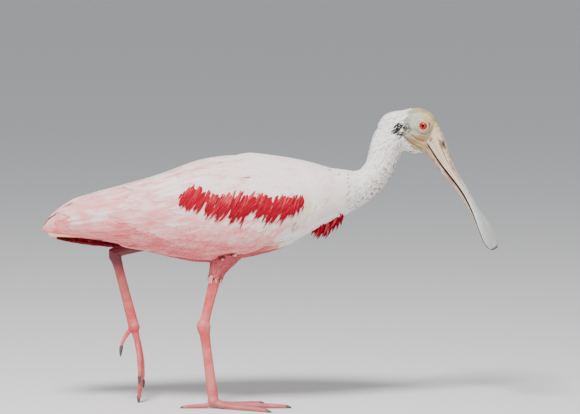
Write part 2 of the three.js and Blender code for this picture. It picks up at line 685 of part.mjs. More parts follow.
const KNEE_CUT_RADIUS = 16;
const TARSUS_CUTS = [0.1, 0.92]; // shares of the way from heel to toe joint where the leg is parted
const LEGS = [
  {
    name: "right",
    color: PINK,
    hip: [[-44, -29, 222], [-52, -28, 206], [-60, -26.5, 188], [-68, -25, 170], [-69.5, -25, 163]],
    depths: [27, 25, 17, 9.6, 8.6],
    widths: [17, 18, 14, 8.2, 7.4],
    thighAt: [-60, -26.5, 188],
    feathered: new THREE.Vector3(-69, -25, 166),
    heel: RIGHT_HEEL,
    joint: RIGHT_TOE_JOINT,
    toes: rightLine,
  },
  {
    name: "left",
    color: 0xd9a5a5,
    hip: [[-96, 29, 208], [-112, 28, 206.5], [-130, 27, 205], [-150, 26, 202], [-158, 25.5, 200.5]],
    depths: [16, 16, 15, 12, 9.5],
    widths: [12, 12, 11.5, 10, 8.4],
    thighAt: [-135, 27, 195],
    feathered: new THREE.Vector3(-150, 26, 202),
    heel: LEFT_HEEL,
    joint: LEFT_TOE_JOINT,
    toes: leftLine,
  },
];

// Legs, each modelled whole, kept clear of the body and parted
for (const { name, color, hip, depths, widths, thighAt, feathered, heel, joint, toes } of LEGS) {
  const hipLine = hip.map((p) => new THREE.Vector3(...p));
  const shin = heel.clone().sub(feathered);
  const foot = joint.clone().sub(heel);
  let leg = legPieces(hipLine, depths, widths, feathered, heel, joint, toes);
  leg = leg.subtract(bodyMargin).subtract(solid(undertail())).subtract(wingMargin);
  leg = leg.subtract(cutter(KNEE_CUT_RADIUS, hipLine[hipLine.length - 1], shin));
  for (const share of TARSUS_CUTS) {
    leg = leg.subtract(cutter(KNEE_CUT_RADIUS, heel.clone().addScaledVector(foot, share), foot));
  }
  const pieces = leg.decompose();
  add(`thigh_${name}`, pieceNear(pieces, thighAt), color);
  add(`shank_${name}`, pieceNear(pieces, feathered.clone().lerp(heel, 0.6).toArray()), LEG_RED, 0.5);
  add(`tarsus_${name}`, pieceNear(pieces, heel.clone().lerp(joint, 0.5).toArray()), LEG_RED, 0.5);
  add(`foot_${name}`, pieceNear(pieces, joint.clone().setZ(joint.z - 20).toArray()), 0xc46470, 0.55);
}

export default group;
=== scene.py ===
# %% [markdown]
# A roseate spoonbill, wading. This lesson dresses a plain solid model of the bird, which gives every
# size and place, with skin, feathers, horn and eyes. All lengths are metres: +X is the way the bird
# faces, +Y is its left side and the floor is at z = 0.

# %% Load the solid model that everything is fitted to
import math

import bmesh
import bpy
import numpy as np
from mathutils import Matrix, Vector
from mathutils.bvhtree import BVHTree


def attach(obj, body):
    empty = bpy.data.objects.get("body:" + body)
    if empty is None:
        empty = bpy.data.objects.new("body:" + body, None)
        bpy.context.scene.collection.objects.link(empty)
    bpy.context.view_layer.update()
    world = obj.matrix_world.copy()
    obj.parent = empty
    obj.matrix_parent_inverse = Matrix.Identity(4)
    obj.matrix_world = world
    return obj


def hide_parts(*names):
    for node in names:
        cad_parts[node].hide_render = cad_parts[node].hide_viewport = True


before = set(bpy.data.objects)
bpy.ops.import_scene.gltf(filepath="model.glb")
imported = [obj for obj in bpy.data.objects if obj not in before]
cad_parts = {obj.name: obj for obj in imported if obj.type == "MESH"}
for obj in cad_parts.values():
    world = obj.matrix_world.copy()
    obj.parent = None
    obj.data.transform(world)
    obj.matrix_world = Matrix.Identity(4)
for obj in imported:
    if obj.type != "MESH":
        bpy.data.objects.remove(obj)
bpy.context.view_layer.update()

MM = 0.001
SIDES = {"right": -1, "left": 1}
rng = np.random.default_rng(11)

# %% [markdown]
# Every piece is made the same way: numbers in arrays go into a mesh, the mesh goes into an object, and
# the object rides on the solid model's one body. A few short helpers keep these steps in one place.


# %% Helpers for arrays and meshes
def ease(low, high, x):
    """0 below low and 1 above high, with a smooth rise between."""
    t = np.clip((x - low) / (high - low), 0, 1)
    return t * t * (3 - 2 * t)


def mix(a, b, t):
    return a + (b - a) * t


def unit(vectors):
    return vectors / np.maximum(np.linalg.norm(vectors, axis=-1, keepdims=True), 1e-9)


def xyz(x, y, z):
    """Points from three coordinates, each a number or an array."""
    return np.stack(np.broadcast_arrays(x, y, z), axis=-1)


def read(items, field, width, kind=np.float32):
    """One field of all vertices, edges or loops, as rows of an array."""
    data = np.empty(len(items) * width, kind)
    items.foreach_get(field, data)
    return data.reshape(-1, width)


def mark(mesh, title, values):
    """A number on every vertex, which materials can read."""
    attribute = mesh.attributes.new(title, "FLOAT", "POINT")
    attribute.data.foreach_set("value", np.asarray(values, np.float32).ravel())


def new_mesh(name, bm):
    mesh = bpy.data.meshes.new(name)
    bm.to_mesh(mesh)
    bm.free()
    return mesh


def shade_smooth(mesh):
    mesh.polygons.foreach_set("use_smooth", np.ones(len(mesh.polygons), bool))


def placed(name, mesh):
    """A piece that holds the mesh and rides on the model."""
    shade_smooth(mesh)
    piece = bpy.data.objects.new(name, mesh)
    bpy.context.scene.collection.objects.link(piece)
    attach(piece, "root")
    return piece


# %% [markdown]
# The plumage lies on a body whose cross-sections are soft ovals. The same few sizes that shape the
# solid body are repeated here, in millimetres, because every wing feather is laid on that surface.
# A smooth curve through a few points is easier to read and to change than a long table.

# %% The body's outer surface as a function
BACK = [(-286, 225), (-276, 240), (-251, 259), (-226, 268), (-188, 278), (-138, 292), (-88, 309.5),
        (-38, 315), (12, 310), (62, 301), (100, 296), (125, 292)]
BELLY = [(-286, 224), (-273, 214), (-238, 206), (-200, 202), (-163, 197), (-113, 185), (-82, 181),
         (-50, 184), (0, 194), (24, 204), (50, 220), (75, 233), (100, 246), (125, 256)]
HALF_WIDTH = [(-286, 3), (-260, 19), (-226, 33), (-188, 45), (-138, 56), (-88, 63), (-38, 64.5),
              (12, 59), (37, 52), (62, 40), (87, 28), (100, 24), (125, 18)]
WING_LOW = [(-285, 223), (-253, 219), (-213, 215), (-196, 213), (-184, 204), (-163, 200), (-113, 194),
            (-63, 190.5), (-38, 196), (-13, 206), (12, 227), (37, 246), (46, 262)]
BODY_POWER = 2.25  # 2 would be a plain oval
MIDDLE = 0.52      # height of the widest level, from belly to back
WING_TIP = -284.0
LEAST_ROOM = 3.5   # for the feathers' layers over the body
MIDLINE_GAP = 0.15


def through(points):
    """A smooth function through (x, value) points, flat past its ends."""
    xs = np.array([p[0] for p in points], float)
    ys = np.array([p[1] for p in points], float)
    slopes = np.empty(len(xs))
    slopes[1:-1] = (ys[2:] - ys[:-2]) / (xs[2:] - xs[:-2])
    slopes[0] = (ys[1] - ys[0]) / (xs[1] - xs[0])
    slopes[-1] = (ys[-1] - ys[-2]) / (xs[-1] - xs[-2])

    def value(x):
        x = np.clip(x, xs[0], xs[-1])
        i = np.clip(np.searchsorted(xs, x) - 1, 0, len(xs) - 2)
        w = xs[i + 1] - xs[i]
        t = (x - xs[i]) / w
        return ((2 * t**3 - 3 * t**2 + 1) * ys[i] + (t**3 - 2 * t**2 + t) * w * slopes[i]
                + (3 * t**2 - 2 * t**3) * ys[i + 1] + (t**3 - t**2) * w * slopes[i + 1])
    return value


back, belly, half_width, wing_low = through(BACK), through(BELLY), through(HALF_WIDTH), through(WING_LOW)


def body_inset(x):
    """How far the body lies inside the feathers' surface, over the back and at the sides."""
    over = mix(mix(10, 5, ease(-200, -284, x)), 0, ease(-70, -25, x))
    beside = mix(mix(11, 5, ease(-200, -284, x)), 0, ease(20, 66, x))
    return over, np.minimum(beside, 0.5 * half_width(x))


def rounded(v):
    """A sine or cosine, bent so that the oval it draws is a little fuller."""
    return np.sign(v) * np.abs(v) ** (2 / BODY_POWER)


def body_point(x, angle, inset=0.0):
    """A point of the body. Angle 0 is the back, and a quarter turn is the bird's right side."""
    over, beside = body_inset(x)
    top, low = back(x) - inset * over, belly(x)
    wide = half_width(x) - inset * beside
    middle = mix(low, top, MIDDLE)
    s, c = np.sin(angle), np.cos(angle)
    z = middle + np.where(c > 0, top - middle, middle - low) * rounded(c)
    return xyz(x, -wide * rounded(s), z)


def angle_at(x, z):
    top, low = back(x), belly(x)
    middle = mix(low, top, MIDDLE)
    part = np.clip(np.where(z > middle, (z - middle) / (top - middle), (z - middle) / (middle - low)), -1, 1)
    return np.arccos(np.sign(part) * np.abs(part) ** (BODY_POWER / 2))


def wing_frame(x, angle):
    """The feathers' surface at x and angle: point, outward normal, and the lengths of its two steps."""
    along = body_point(x + 0.5, angle) - body_point(x - 0.5, angle)
    down = (body_point(x, angle + 0.01) - body_point(x, angle - 0.01)) / 0.02
    per_x, per_angle = np.linalg.norm(along, axis=-1), np.maximum(np.linalg.norm(down, axis=-1), 1)
    return body_point(x, angle), unit(np.cross(down, along)), per_x, per_angle


def wing_point(x, angle, share, offset=0.0, across_back=False):
    """A point between the body, at share 0, and the feathers' outer surface, at share 1."""
    under = body_point(x, angle, 1)
    at, normal, _, _ = wing_frame(x, angle)
    room = np.maximum(np.sum((at - under) * normal, axis=-1), LEAST_ROOM)
    point = under + normal * (mix(1.0, room, share) + offset)[..., None]
    if not across_back:
        point[..., 1] = np.minimum(point[..., 1], -MIDLINE_GAP)
    return point


print("body is widest at", round(float(half_width(np.array(-38.0))) * 2), "mm")

# %% [markdown]
# A feather is a thin blade: a row of cross-sections along its shaft, each with two edges and a raised
# middle. All feathers of a tract are made at once as arrays, because thousands of separate objects
# would be slow. Every blade gets two maps: Vane, which runs from root to tip and from edge to edge
# and guides its fine barbs, and OFBake, a small patch at the root's own place on the unrolled body.

# %% Turning grids of points into one mesh of closed blades
PATCH = 0.003
MAP_START, MAP_LENGTH, MAP_TURN, MAP_AXIS = -290, 620, 6.6, 250


def unrolled(x, turn):
    """A place on the unrolled body, from the distance along it and the angle round it."""
    return np.stack([(x - MAP_START) / MAP_LENGTH, 0.5 + turn / MAP_TURN], axis=1)


def body_place(p):
    return unrolled(p[:, 0], np.arctan2(p[:, 1], p[:, 2] - MAP_AXIS))


def blade_faces(steps, across):
    """Corners of one blade's long faces and of its two ends, over a grid and the inner points under it."""
    def top(i, j):
        return i * across + j

    def low(i, j):
        return top(i, j) if j in (0, across - 1) else steps * across + i * (across - 2) + j - 1

    quads, ends = [], []
    for i in range(steps - 1):
        for j in range(across - 1):
            quads.append((top(i, j), top(i, j + 1), top(i + 1, j + 1), top(i + 1, j)))
            quads.append((low(i, j), low(i + 1, j), low(i + 1, j + 1), low(i, j + 1)))
    for i, order in ((0, -1), (steps - 1, 1)):
        ring = [top(i, j) for j in range(across)] + [low(i, j) for j in range(across - 2, 0, -1)]
        ends.append(ring[::order])
    return quads, ends


def feather_mesh(name, grid, thick, tone, place):
    """grid is (feathers, steps, across, 3) in mm. A second face lies thick mm under the first."""
    count, steps, across, _ = grid.shape
    normal = unit(np.cross(np.gradient(grid, axis=2), np.gradient(grid, axis=1)))
    under = grid[:, :, 1:-1] - normal[:, :, 1:-1] * thick
    verts = np.concatenate([grid.reshape(count, -1, 3), under.reshape(count, -1, 3)], axis=1)
    per = verts.shape[1]
    quads, ends = blade_faces(steps, across)
    base = (np.arange(count) * per)[:, None, None]
    loops = np.concatenate([(np.array(faces)[None] + base).ravel() for faces in (quads, ends)])
    sizes = np.repeat([4, len(ends[0])], [count * len(quads), count * 2])
    mesh = bpy.data.meshes.new(name)
    mesh.vertices.add(count * per)
    mesh.vertices.foreach_set("co", (verts * MM).astype(np.float32).ravel())
    mesh.loops.add(len(loops))
    mesh.loops.foreach_set("vertex_index", loops.astype(np.int32))
    mesh.polygons.add(len(sizes))
    mesh.polygons.foreach_set("loop_start", (np.cumsum(sizes) - sizes).astype(np.int32))

    row = np.concatenate([np.repeat(np.arange(steps), wide) for wide in (across, across - 2)])
    column = np.concatenate([np.tile(np.arange(across), steps), np.tile(np.arange(1, across - 1), steps)])
    vane = np.tile(np.stack([column / (across - 1), row / (steps - 1)], axis=1), (count, 1))
    for title, data in (("Vane", vane), ("OFBake", vane * PATCH + np.repeat(place, per, axis=0))):
        mesh.uv_layers.new(name=title).data.foreach_set("uv", data[loops].astype(np.float32).ravel())
    mark(mesh, "tone", np.repeat(tone, per))
    mesh.update(calc_edges=True)
    mesh.validate()
    a, b = (read(mesh.edges, "vertices", 2, np.int32) % per).T
    rim = (column[a] == column[b]) & np.isin(column[a], (0, across - 1))
    rim |= (row[a] == row[b]) & np.isin(row[a], (0, steps - 1))
    mesh.attributes.new("sharp_edge", "BOOLEAN", "EDGE").data.foreach_set("value", rim)
    print(name, count, "feathers,", count * (len(quads) * 2 + 2 * (len(ends[0]) - 2)), "triangles")
    return placed(name, mesh)


def wing_vanes(name, x, z, heading, length, width, root, tip, tone, *, steps, bend=0.0, tilt=0.0,
               point=0.3, across=5, thick=0.3, ridge=0.25, keep_in=True, side=-1, start=None):
    """Blades on the wing's surface, with roots at x and z, pointing back and down, in mm and degrees.

    root and tip are their heights between body and outer surface. Blades with a start angle may cross
    the middle of the back."""
    x, z, heading, length = np.broadcast_arrays(x, z, heading, length)
    tone = np.broadcast_to(tone, x.shape)
    across_back = start is not None
    at_x, at_angle = x.astype(float), start if across_back else angle_at(x, z)
    u = np.linspace(0, 1, steps)
    grid = np.empty((len(x), steps, across, 3))
    v = np.linspace(-0.5, 0.5, across)
    for i in range(steps):
        way = np.radians(heading + bend * u[i])
        _, _, per_x, per_angle = wing_frame(at_x, at_angle)
        swell = mix(0.55, 1, ease(0, 0.45, u[i])) * mix(1, point, ease(0.6, 1, u[i]) ** 1.5)
        for j in range(across):
            off = v[j] * width * swell
            ahead = abs(v[j]) ** 1.5 * width * 0.9 * u[i]
            x2 = at_x + (np.sin(way) * off + np.cos(way) * ahead) / per_x
            a2 = at_angle + np.cos(way) * off / per_angle
            x2 = np.clip(x2, WING_TIP, 120)
            a2 = a2 if across_back else np.maximum(a2, 0.008)
            if keep_in:
                a2 = np.minimum(a2, angle_at(x2, wing_low(x2)) - 0.05 * (0.5 - v[j]))
            share = mix(0.0, mix(root, tip, ease(0, 0.6, u[i])) + tilt * v[j], ease(-0.02, 0.1, u[i]))
            crown = ridge * (1 - (2 * v[j]) ** 2)
            grid[:, i, j] = wing_point(x2, a2, share, crown, across_back)
        at_x = at_x - np.cos(way) * length / (steps - 1) / per_x
        at_angle = at_angle + np.sin(way) * length / (steps - 1) / per_angle
    if side > 0:
        grid = grid[:, :, ::-1] * np.array([1, -1, 1])
    return feather_mesh(name, grid, thick, tone, unrolled(x, side * angle_at(x, z)))


# %% [markdown]
# One skin carries the small feathers of head, neck, body and thighs. Joining copies of the solid
# pieces and remeshing them with voxels closes the thin cuts between them, so no seam shows. It is then
# smoothed and drawn in a little, which leaves room for the plumage inside the bird's true outline.


# %% Skin made from copies of the solid pieces
def remeshed(name, nodes, voxel, smoothing, drawn_in):
    """One smooth closed mesh over copies of solid nodes, sizes in mm."""
    bm = bmesh.new()
    for node in nodes:
        bm.from_mesh(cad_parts[node].data)
    rough = new_mesh(name + "_rough", bm)
    piece = placed(name, rough)
    for kind, settings in (("REMESH", {"mode": "VOXEL", "voxel_size": voxel * MM}),
                           ("SMOOTH", {"factor": 0.5, "iterations": smoothing}),
                           ("DISPLACE", {"strength": -drawn_in * MM, "mid_level": 0})):
        modifier = piece.modifiers.new(kind, kind)
        for key, value in settings.items():
            setattr(modifier, key, value)
    made = bpy.data.meshes.new_from_object(piece.evaluated_get(bpy.context.evaluated_depsgraph_get()))
    piece.modifiers.clear()
    piece.data = made
    made.name = name
    shade_smooth(made)
    bpy.data.meshes.remove(rough)
    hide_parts(*nodes)
    print(name, len(made.polygons), "faces")
    return piece


FLESH = ["head", "neck_upper", "neck_middle", "neck_lower", "torso", "thigh_right", "thigh_left"]
skin = remeshed("skin", FLESH, voxel=1.5, smoothing=9, drawn_in=0.9)


def body_map(piece):
    """An unrolled map of the body's own shape: along it, and round it."""
    uv = body_place(read(piece.data.vertices, "co", 3) / MM)
    loops = read(piece.data.loops, "vertex_index", 1, np.int32)[:, 0]
    piece.data.uv_layers.new(name="OFBake").data.foreach_set("uv", uv[loops].astype(np.float32).ravel())


body_map(skin)

# %% [markdown]
# The head needs more detail than the body, so its faces are split into four. Small forms are then
# raised or sunk along the surface: the ring round the eye, the crease behind the mouth, the ear slit
# and the folds of the throat.

# %% The head's frame
HEAD = (Matrix.Translation((177, 0, 350)) @ Matrix.Rotation(math.radians(-11), 4, "Z")
        @ Matrix.Rotation(math.radians(10), 4, Vector((0.486, 0, -0.874))))
HEAD_TURN = np.array(HEAD.to_3x3())
HEAD_AT = np.array(HEAD.translation)


def in_world(p):
    return p @ HEAD_TURN.T + HEAD_AT


def in_head(p):
    return (p - HEAD_AT) @ HEAD_TURN


# %% Finer skin on the head
def beside(x, z, line):
    """Distance in a side view from a broken line of (x, z) points."""
    best = np.full(len(x), 1e9)
    for (x0, z0), (x1, z1) in zip(line[:-1], line[1:]):
        dx, dz = x1 - x0, z1 - z0
        t = np.clip(((x - x0) * dx + (z - z0) * dz) / (dx * dx + dz * dz), 0, 1)
        best = np.minimum(best, np.hypot(x - x0 - t * dx, z - z0 - t * dz))
    return best


def swell(distance, width):
    return np.exp(-(distance / width) ** 2)


EYE_RADIUS, EYE_AT = 6.6, np.array([19, 12.4, 4.8])
CREASES = [
    # height, width and (x, z) points of each line, in mm
    (-0.8, 1.1, [(4, -7), (10, -12), (18, -15)]),
    (0.7, 1.5, [(4, -10), (10, -15), (18, -18.5)]),
    (-0.7, 1.3, [(-6, -10), (4, -18), (14, -25)]),
    (-1.8, 1.2, [(-7, 3), (-4.5, -2)]),
    (0.8, 1.4, [(-9.5, 4), (-7, -3)]),
    (-0.5, 1.2, [(-4, -6), (-10, -12), (-8, -18)]),
]


def head_relief(p):
    """How far the skin rises, in mm, at points near the head."""
    x, y, z = in_head(p).T
    eye = np.hypot(x - EYE_AT[0], z - EYE_AT[2])
    rise = 0.5 * swell(eye - 8.4, 0.9) - 0.5 * swell(eye - 10.4, 1.2) * ease(6, -2, z)
    for height, width, line in CREASES:
        rise += height * swell(beside(x, z, line), width)
    rise = rise * ease(4, 10, np.abs(y))
    folds = 0.22 * np.sin(z * 1.9 + x * 0.8) * ease(-14, -22, z) * ease(-8, 2, x)
    wrinkles = 0.12 * np.sin(x * 2.3 - z * 1.4) * ease(4, 14, z) + 0.1 * np.sin(x * 1.1 + z * 3.1)
    return (rise + folds + wrinkles) * ease(-18, -10, x)


HEAD_REAR, HEAD_LOW = 0.158, 0.312


def refine_head(piece):
    """Split the faces of the head and raise its relief."""
    bm = bmesh.new()
    bm.from_mesh(piece.data)
    fine = [e for e in bm.edges if all(v.co.x > HEAD_REAR and v.co.z > HEAD_LOW for v in e.verts)]
    bmesh.ops.subdivide_edges(bm, edges=fine, cuts=1, use_grid_fill=True)
    bm.normal_update()
    near = [v for v in bm.verts if v.co.x > HEAD_REAR - 0.008 and v.co.z > HEAD_LOW - 0.002]
    rise = head_relief(np.array([v.co[:] for v in near]) / MM)
    for vert, up in zip(near, rise):
        vert.co += vert.normal * (float(up) * MM)
    bm.to_mesh(piece.data)
    bm.free()
    shade_smooth(piece.data)
    print("skin", len(piece.data.polygons), "faces with the finer head")


refine_head(skin)

# %% [markdown]
# The wing's own surface, under its feathers, is a thin curved sheet that keeps any gap between two
# feathers from showing daylight. It starts as a grid whose points are moved onto the wing.


# %% Under-surface of each folded wing
BASE_FRONT, BASE_SHARE, BASE_THICK = 44.0, 0.22, 0.6


def wing_base(name, side):
    """A sheet from the bend of the wing to its tip, and from the back down to the wing's lower edge."""
    bm = bmesh.new()
    bmesh.ops.create_grid(bm, x_segments=60, y_segments=24, size=0.5)
    for vert in bm.verts:
        u, v = vert.co.x + 0.5, vert.co.y + 0.5
        x = np.array(mix(BASE_FRONT, WING_TIP + 0.5, u))
        low = float(angle_at(x, wing_low(x))) - 0.06
        high = mix(0.01, 0.55, float(ease(-50, BASE_FRONT, x)))
        point = wing_point(x, np.array(mix(high, low, v)), np.array(BASE_SHARE), np.array(0.0))
        vert.co = Vector((point[0], point[1] * -side, point[2])) * MM
    bmesh.ops.solidify(bm, geom=bm.faces[:], thickness=BASE_THICK * MM)
    bmesh.ops.recalc_face_normals(bm, faces=bm.faces[:])
    piece = placed(name, new_mesh(name, bm))
    body_map(piece)
    return piece


bases = [wing_base("wing_base_" + word, side) for word, side in SIDES.items()]
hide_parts("wing_right")
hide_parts("wing_left")
print("wing bases made")

# %% [markdown]
# A folded wing shows its feathers in tiers, like tiles on a roof: the long primaries reach the tip,
# the secondaries and long inner feathers lie over them, and each row of coverts hides the roots of
# the next. The rows below run from the lowest tier to the uppermost. Each goes from its first feather
# to its last, with root place, direction and length eased between the two.


# %% Rows of wing feathers
def between(first, last, count):
    """x, z, heading and length of a row's feathers, each drawn a little off its even place."""
    t = np.linspace(0, 1, count)
    rows = [mix(a, b, t) for a, b in zip(first, last)]
    return [row + rng.normal(0, spread, count) for row, spread in zip(rows, (0.6, 0.4, 1.5, 1.2))]


def pinkness(x, z):
    """0 is white and 1 is the deepest pink: pale over the back, deeper low on the wing."""
    tip = 0.2 * ease(-200, -280, x)
    low = 0.52 * ease(290, 210, z)
    return np.clip(0.08 + 0.24 * ease(20, -80, x) + low - 0.1 * ease(-20, 50, x) + tip, 0.03, 1)


WING_ROWS = [
    # name, count, first and last (x, z, heading, length), width, root, tip, tilt, point
    ("secondaries", 15, (-44, 216, 18, 96), (-150, 250, 3, 124), 17, 0.4, 0.76, 0.1, 0.4),
    ("tertials", 13, (-86, 250, 9, 158), (-96, 303, 1, 178), 17, 0.45, 0.8, -0.08, 0.3),
    ("greater_coverts", 19, (14, 230, 36, 66), (-100, 268, 8, 104), 16, 0.52, 0.86, 0.1, 0.35),
    ("median_coverts", 20, (24, 240, 42, 48), (-92, 278, 11, 84), 14, 0.6, 0.9, 0.1, 0.3),
    ("scapulars", 13, (6, 282, 8, 118), (-36, 311, 2, 150), 15, 0.6, 0.92, -0.1, 0.2),
    ("lesser_coverts", 24, (34, 250, 48, 36), (-80, 286, 13, 66), 12, 0.68, 0.93, 0.08, 0.3),
]


PRIMARIES, SMALL_COVERTS, ON_BACK, ON_SHOULDER = 15, 1100, 420, 420
FINE = {"across": 3, "thick": 0.2, "ridge": 0.12}


def build_wing(word, side):
    made = []
    i = np.arange(float(PRIMARIES))
    x = -118 - 4 * i
    low = angle_at(x, wing_low(x)) - 0.06 - 0.14 * i
    z = body_point(x, low)[:, 2]
    length = (x - (WING_TIP - 1 + 1.2 * i)) * 1.05
    made.append(wing_vanes("primaries_" + word, x, z, 0.0, length, 13, 0.3, 0.62, pinkness(x, z) * 0.8,
                           tilt=0.05, steps=10, point=0.5, side=side))

    for name, count, first, last, width, root, tip, tilt, point in WING_ROWS:
        x, z, heading, length = between(first, last, count)
        tone = np.clip(pinkness(x, z) + rng.normal(0, 0.07, count), 0, 1)
        made.append(wing_vanes(f"{name}_{word}", x, z, heading, length, width, root, tip, tone,
                               bend=-6, tilt=tilt, point=point, steps=8, side=side))

    count = SMALL_COVERTS
    x = 44 - 176 * rng.uniform(0, 1, count) ** 1.15
    low = wing_low(x) + 6
    high = 305 - 16 * ease(-10, 44, x)
    z = mix(low, high, rng.uniform(0, 1, count) ** 0.9)
    heading = 12 + 34 * ease(300, 235, z) * ease(-130, -60, x) + 12 * ease(-40, 30, x)
    heading = heading + rng.normal(0, 4, count)
    size = mix(20, 46, ease(40, -80, x)) * rng.uniform(0.8, 1.2, count)
    tone = np.clip(pinkness(x, z) + rng.normal(0, 0.05, count), 0, 1)
    tip = mix(0.97, 0.86, ease(-50, -124, x))
    made.append(wing_vanes("small_coverts_" + word, x, z, heading, size, size * 0.3, 0.7, tip, tone,
                           steps=5, point=0.12, side=side, **FINE))

    x = np.concatenate([74 - 215 * rng.uniform(0, 1, ON_BACK) ** 1.2,
                        40 + 58 * rng.uniform(0, 1, ON_SHOULDER) ** 1.4])
    angle = np.concatenate([rng.uniform(0.02, 0.85, ON_BACK), rng.uniform(0.5, 2.0, ON_SHOULDER)])
    z = body_point(x, angle)[:, 2]
    heading = np.concatenate([rng.normal(9, 4, ON_BACK), rng.normal(28, 6, ON_SHOULDER)])
    size = np.concatenate([rng.uniform(28, 44, ON_BACK), rng.uniform(16, 26, ON_SHOULDER)])
    tone = pinkness(x, z) * mix(0.7, 0.1, ease(36, 58, x)) + rng.uniform(0, 0.08, ON_BACK + ON_SHOULDER)
    tip = mix(0.96, 0.86, ease(-60, -140, x)) - 0.85 * ease(54, 90, x)
    made.append(wing_vanes("mantle_" + word, x, z, heading, size, size * 0.25, tip * 0.47, tip, tone,
                           keep_in=False, steps=6, point=0.2, side=side, **FINE))
    return made


wing_feathers = [piece for word, side in SIDES.items() for piece in build_wing(word, side)]
x = rng.uniform(-258, 70, ON_BACK)
angle = rng.uniform(-0.4, 0.4, ON_BACK)
size = rng.uniform(30, 48, ON_BACK) * mix(0.75, 1, ease(-246, -150, x))
heading = rng.normal(0, 3, ON_BACK)
tip = mix(0.98, 0.84, ease(-60, -230, x))
wing_feathers.append(wing_vanes("back_plumage", x, body_point(x, angle)[:, 2], heading, size, size * 0.22, 0.5,
                                tip, pinkness(x, back(x)) * 0.7, keep_in=False, steps=6, point=0.2,
                                start=angle, **FINE))

# %% [markdown]
# The crimson bar at the bend of the wing is made of loose, hair-like plumes. They start along a
# nearly level line and sweep down and back, so the bar's lower edge breaks into separate tips.


# %% The crimson shoulder bar
bar_top = through([(-108, 272), (-98, 281), (-82, 285), (-64, 278), (-26, 274), (0, 271), (38, 270)])
bar_length = through([(-108, 12), (-92, 27), (-54, 33), (-25, 36), (-12, 27), (4, 38), (20, 34), (38, 22)])
BAR_PLUMES = 640


def build_bar(word, side):
    """Deep red plumes in tiers, the uppermost paler, gathered into clumps of uneven length."""
    count = BAR_PLUMES
    x = rng.uniform(-107, 40, count)
    tier = rng.uniform(0, 1, count) ** 1.5
    reach = bar_length(x)
    clump = 7 * np.sin(x * 0.42) + 5 * np.sin(x * 0.17 + 1)
    z = bar_top(x) - tier * reach * 0.42 + 1.6 * np.sin(x * 0.9) + rng.normal(0, 1.4, count)
    length = reach * mix(0.62, 0.58, tier) * rng.uniform(0.7, 1.3, count) * (1 + 0.22 * np.sin(x * 0.62))
    tone = rng.uniform(0.45, 1, count) - 0.5 * (tier < 0.07)
    heading = 60 + clump + rng.normal(0, 4, count)
    return wing_vanes("crimson_bar_" + word, x, z, heading, length, 2.1, 0.97, 1.06, tone, bend=-12, steps=5,
                      across=3, thick=0.25, point=0.06, ridge=0.3, side=side)


bars = [build_bar(word, side) for word, side in SIDES.items()]

# %% [markdown]
# Small body feathers follow the skin. Roots are scattered evenly over it, each blade runs along the
# lie of the coat, which flows from the face down the neck and back over the body, and every point of
# it is set a little above the nearest skin, so that tips overlap the next roots.

# %% Where body feathers grow and which way they lie
NECK = np.array([(66, 0, 262), (88, 0, 267), (106, 0, 273), (122, -1, 283), (133.5, -1, 296.5),
                 (139.5, 0, 311), (144, 1, 325), (152, 3, 339), (166, 1, 352)], float)


def lie_of_coat(p):
    """The direction in which a feather rooted at each point lies."""
    flow = np.tile([-1.0, 0.0, -0.14], (len(p), 1))
    far = np.linalg.norm(p[:, None] - NECK[None], axis=2)
    near = np.clip(np.argmin(far, axis=1), 1, len(NECK) - 2)
    share = ease(84, 118, p[:, 0])[:, None]
    flow = mix(flow, unit(NECK[near - 1] - NECK[near + 1]), share)
    nape = ease(335, 350, p[:, 2])[:, None]
    flow = mix(flow, np.array([-0.86, 0, -0.5]), nape * share)
    thigh = ((p[:, 2] < 186) & (p[:, 0] < -40) & (p[:, 1] < -8))[:, None]
    return np.where(thigh, np.array([-0.25, 0, -1.0]), flow)


FEATHER_EDGE_Z, FEATHER_EDGE_X = [312, 319, 330, 340, 359, 375], [196, 187, 171, 163, 165, 174]


def bareness(p):
    """1 where the head is bare skin, in front of the feather line, easing to 0 behind it."""
    edge = np.interp(p[:, 2], FEATHER_EDGE_Z, FEATHER_EDGE_X)
    wavy = 1.5 * np.sin(p[:, 2] * 0.7) + 1.2 * np.sin(p[:, 2] * 1.9 + p[:, 1])
    return ease(-3.5, 3.5, p[:, 0] - edge + wavy) * (p[:, 2] > FEATHER_EDGE_Z[0])


def under_wing(p):
    z_low = wing_low(p[:, 0]) + 7
    high = np.where(p[:, 0] < -55, 999, 300 - 22 * ease(-20, 44, p[:, 0]))
    return (p[:, 0] < 24) & (p[:, 2] > z_low) & (p[:, 2] < high) & (np.abs(p[:, 1]) > 6)


def scatter(gap_of):
    """Evenly spaced points on the skin, in mm. gap_of gives the spacing at points, or 0 for none."""
    skin.data.calc_loop_triangles()
    corners = read(skin.data.loop_triangles, "vertices", 3, np.int32)
    a, b, c = (read(skin.data.vertices, "co", 3) / MM)[corners].transpose(1, 0, 2)
    area = np.linalg.norm(np.cross(b - a, c - a), axis=1)
    pick = rng.choice(len(area), TRIES, p=area / area.sum())
    r1, r2 = np.sqrt(rng.uniform(0, 1, TRIES))[:, None], rng.uniform(0, 1, TRIES)[:, None]
    p = a[pick] * (1 - r1) + b[pick] * (r1 * (1 - r2)) + c[pick] * (r1 * r2)
    gap = gap_of(p)
    cells = {}
    for i in np.flatnonzero(gap > 0):
        cells.setdefault((*(p[i] // gap[i]).astype(int), round(gap[i], 1)), i)
    return p[list(cells.values())]


# %% Body feathers
TRIES, COAT_STEPS = 60000, 4
skin_tree = BVHTree.FromObject(skin, bpy.context.evaluated_depsgraph_get())


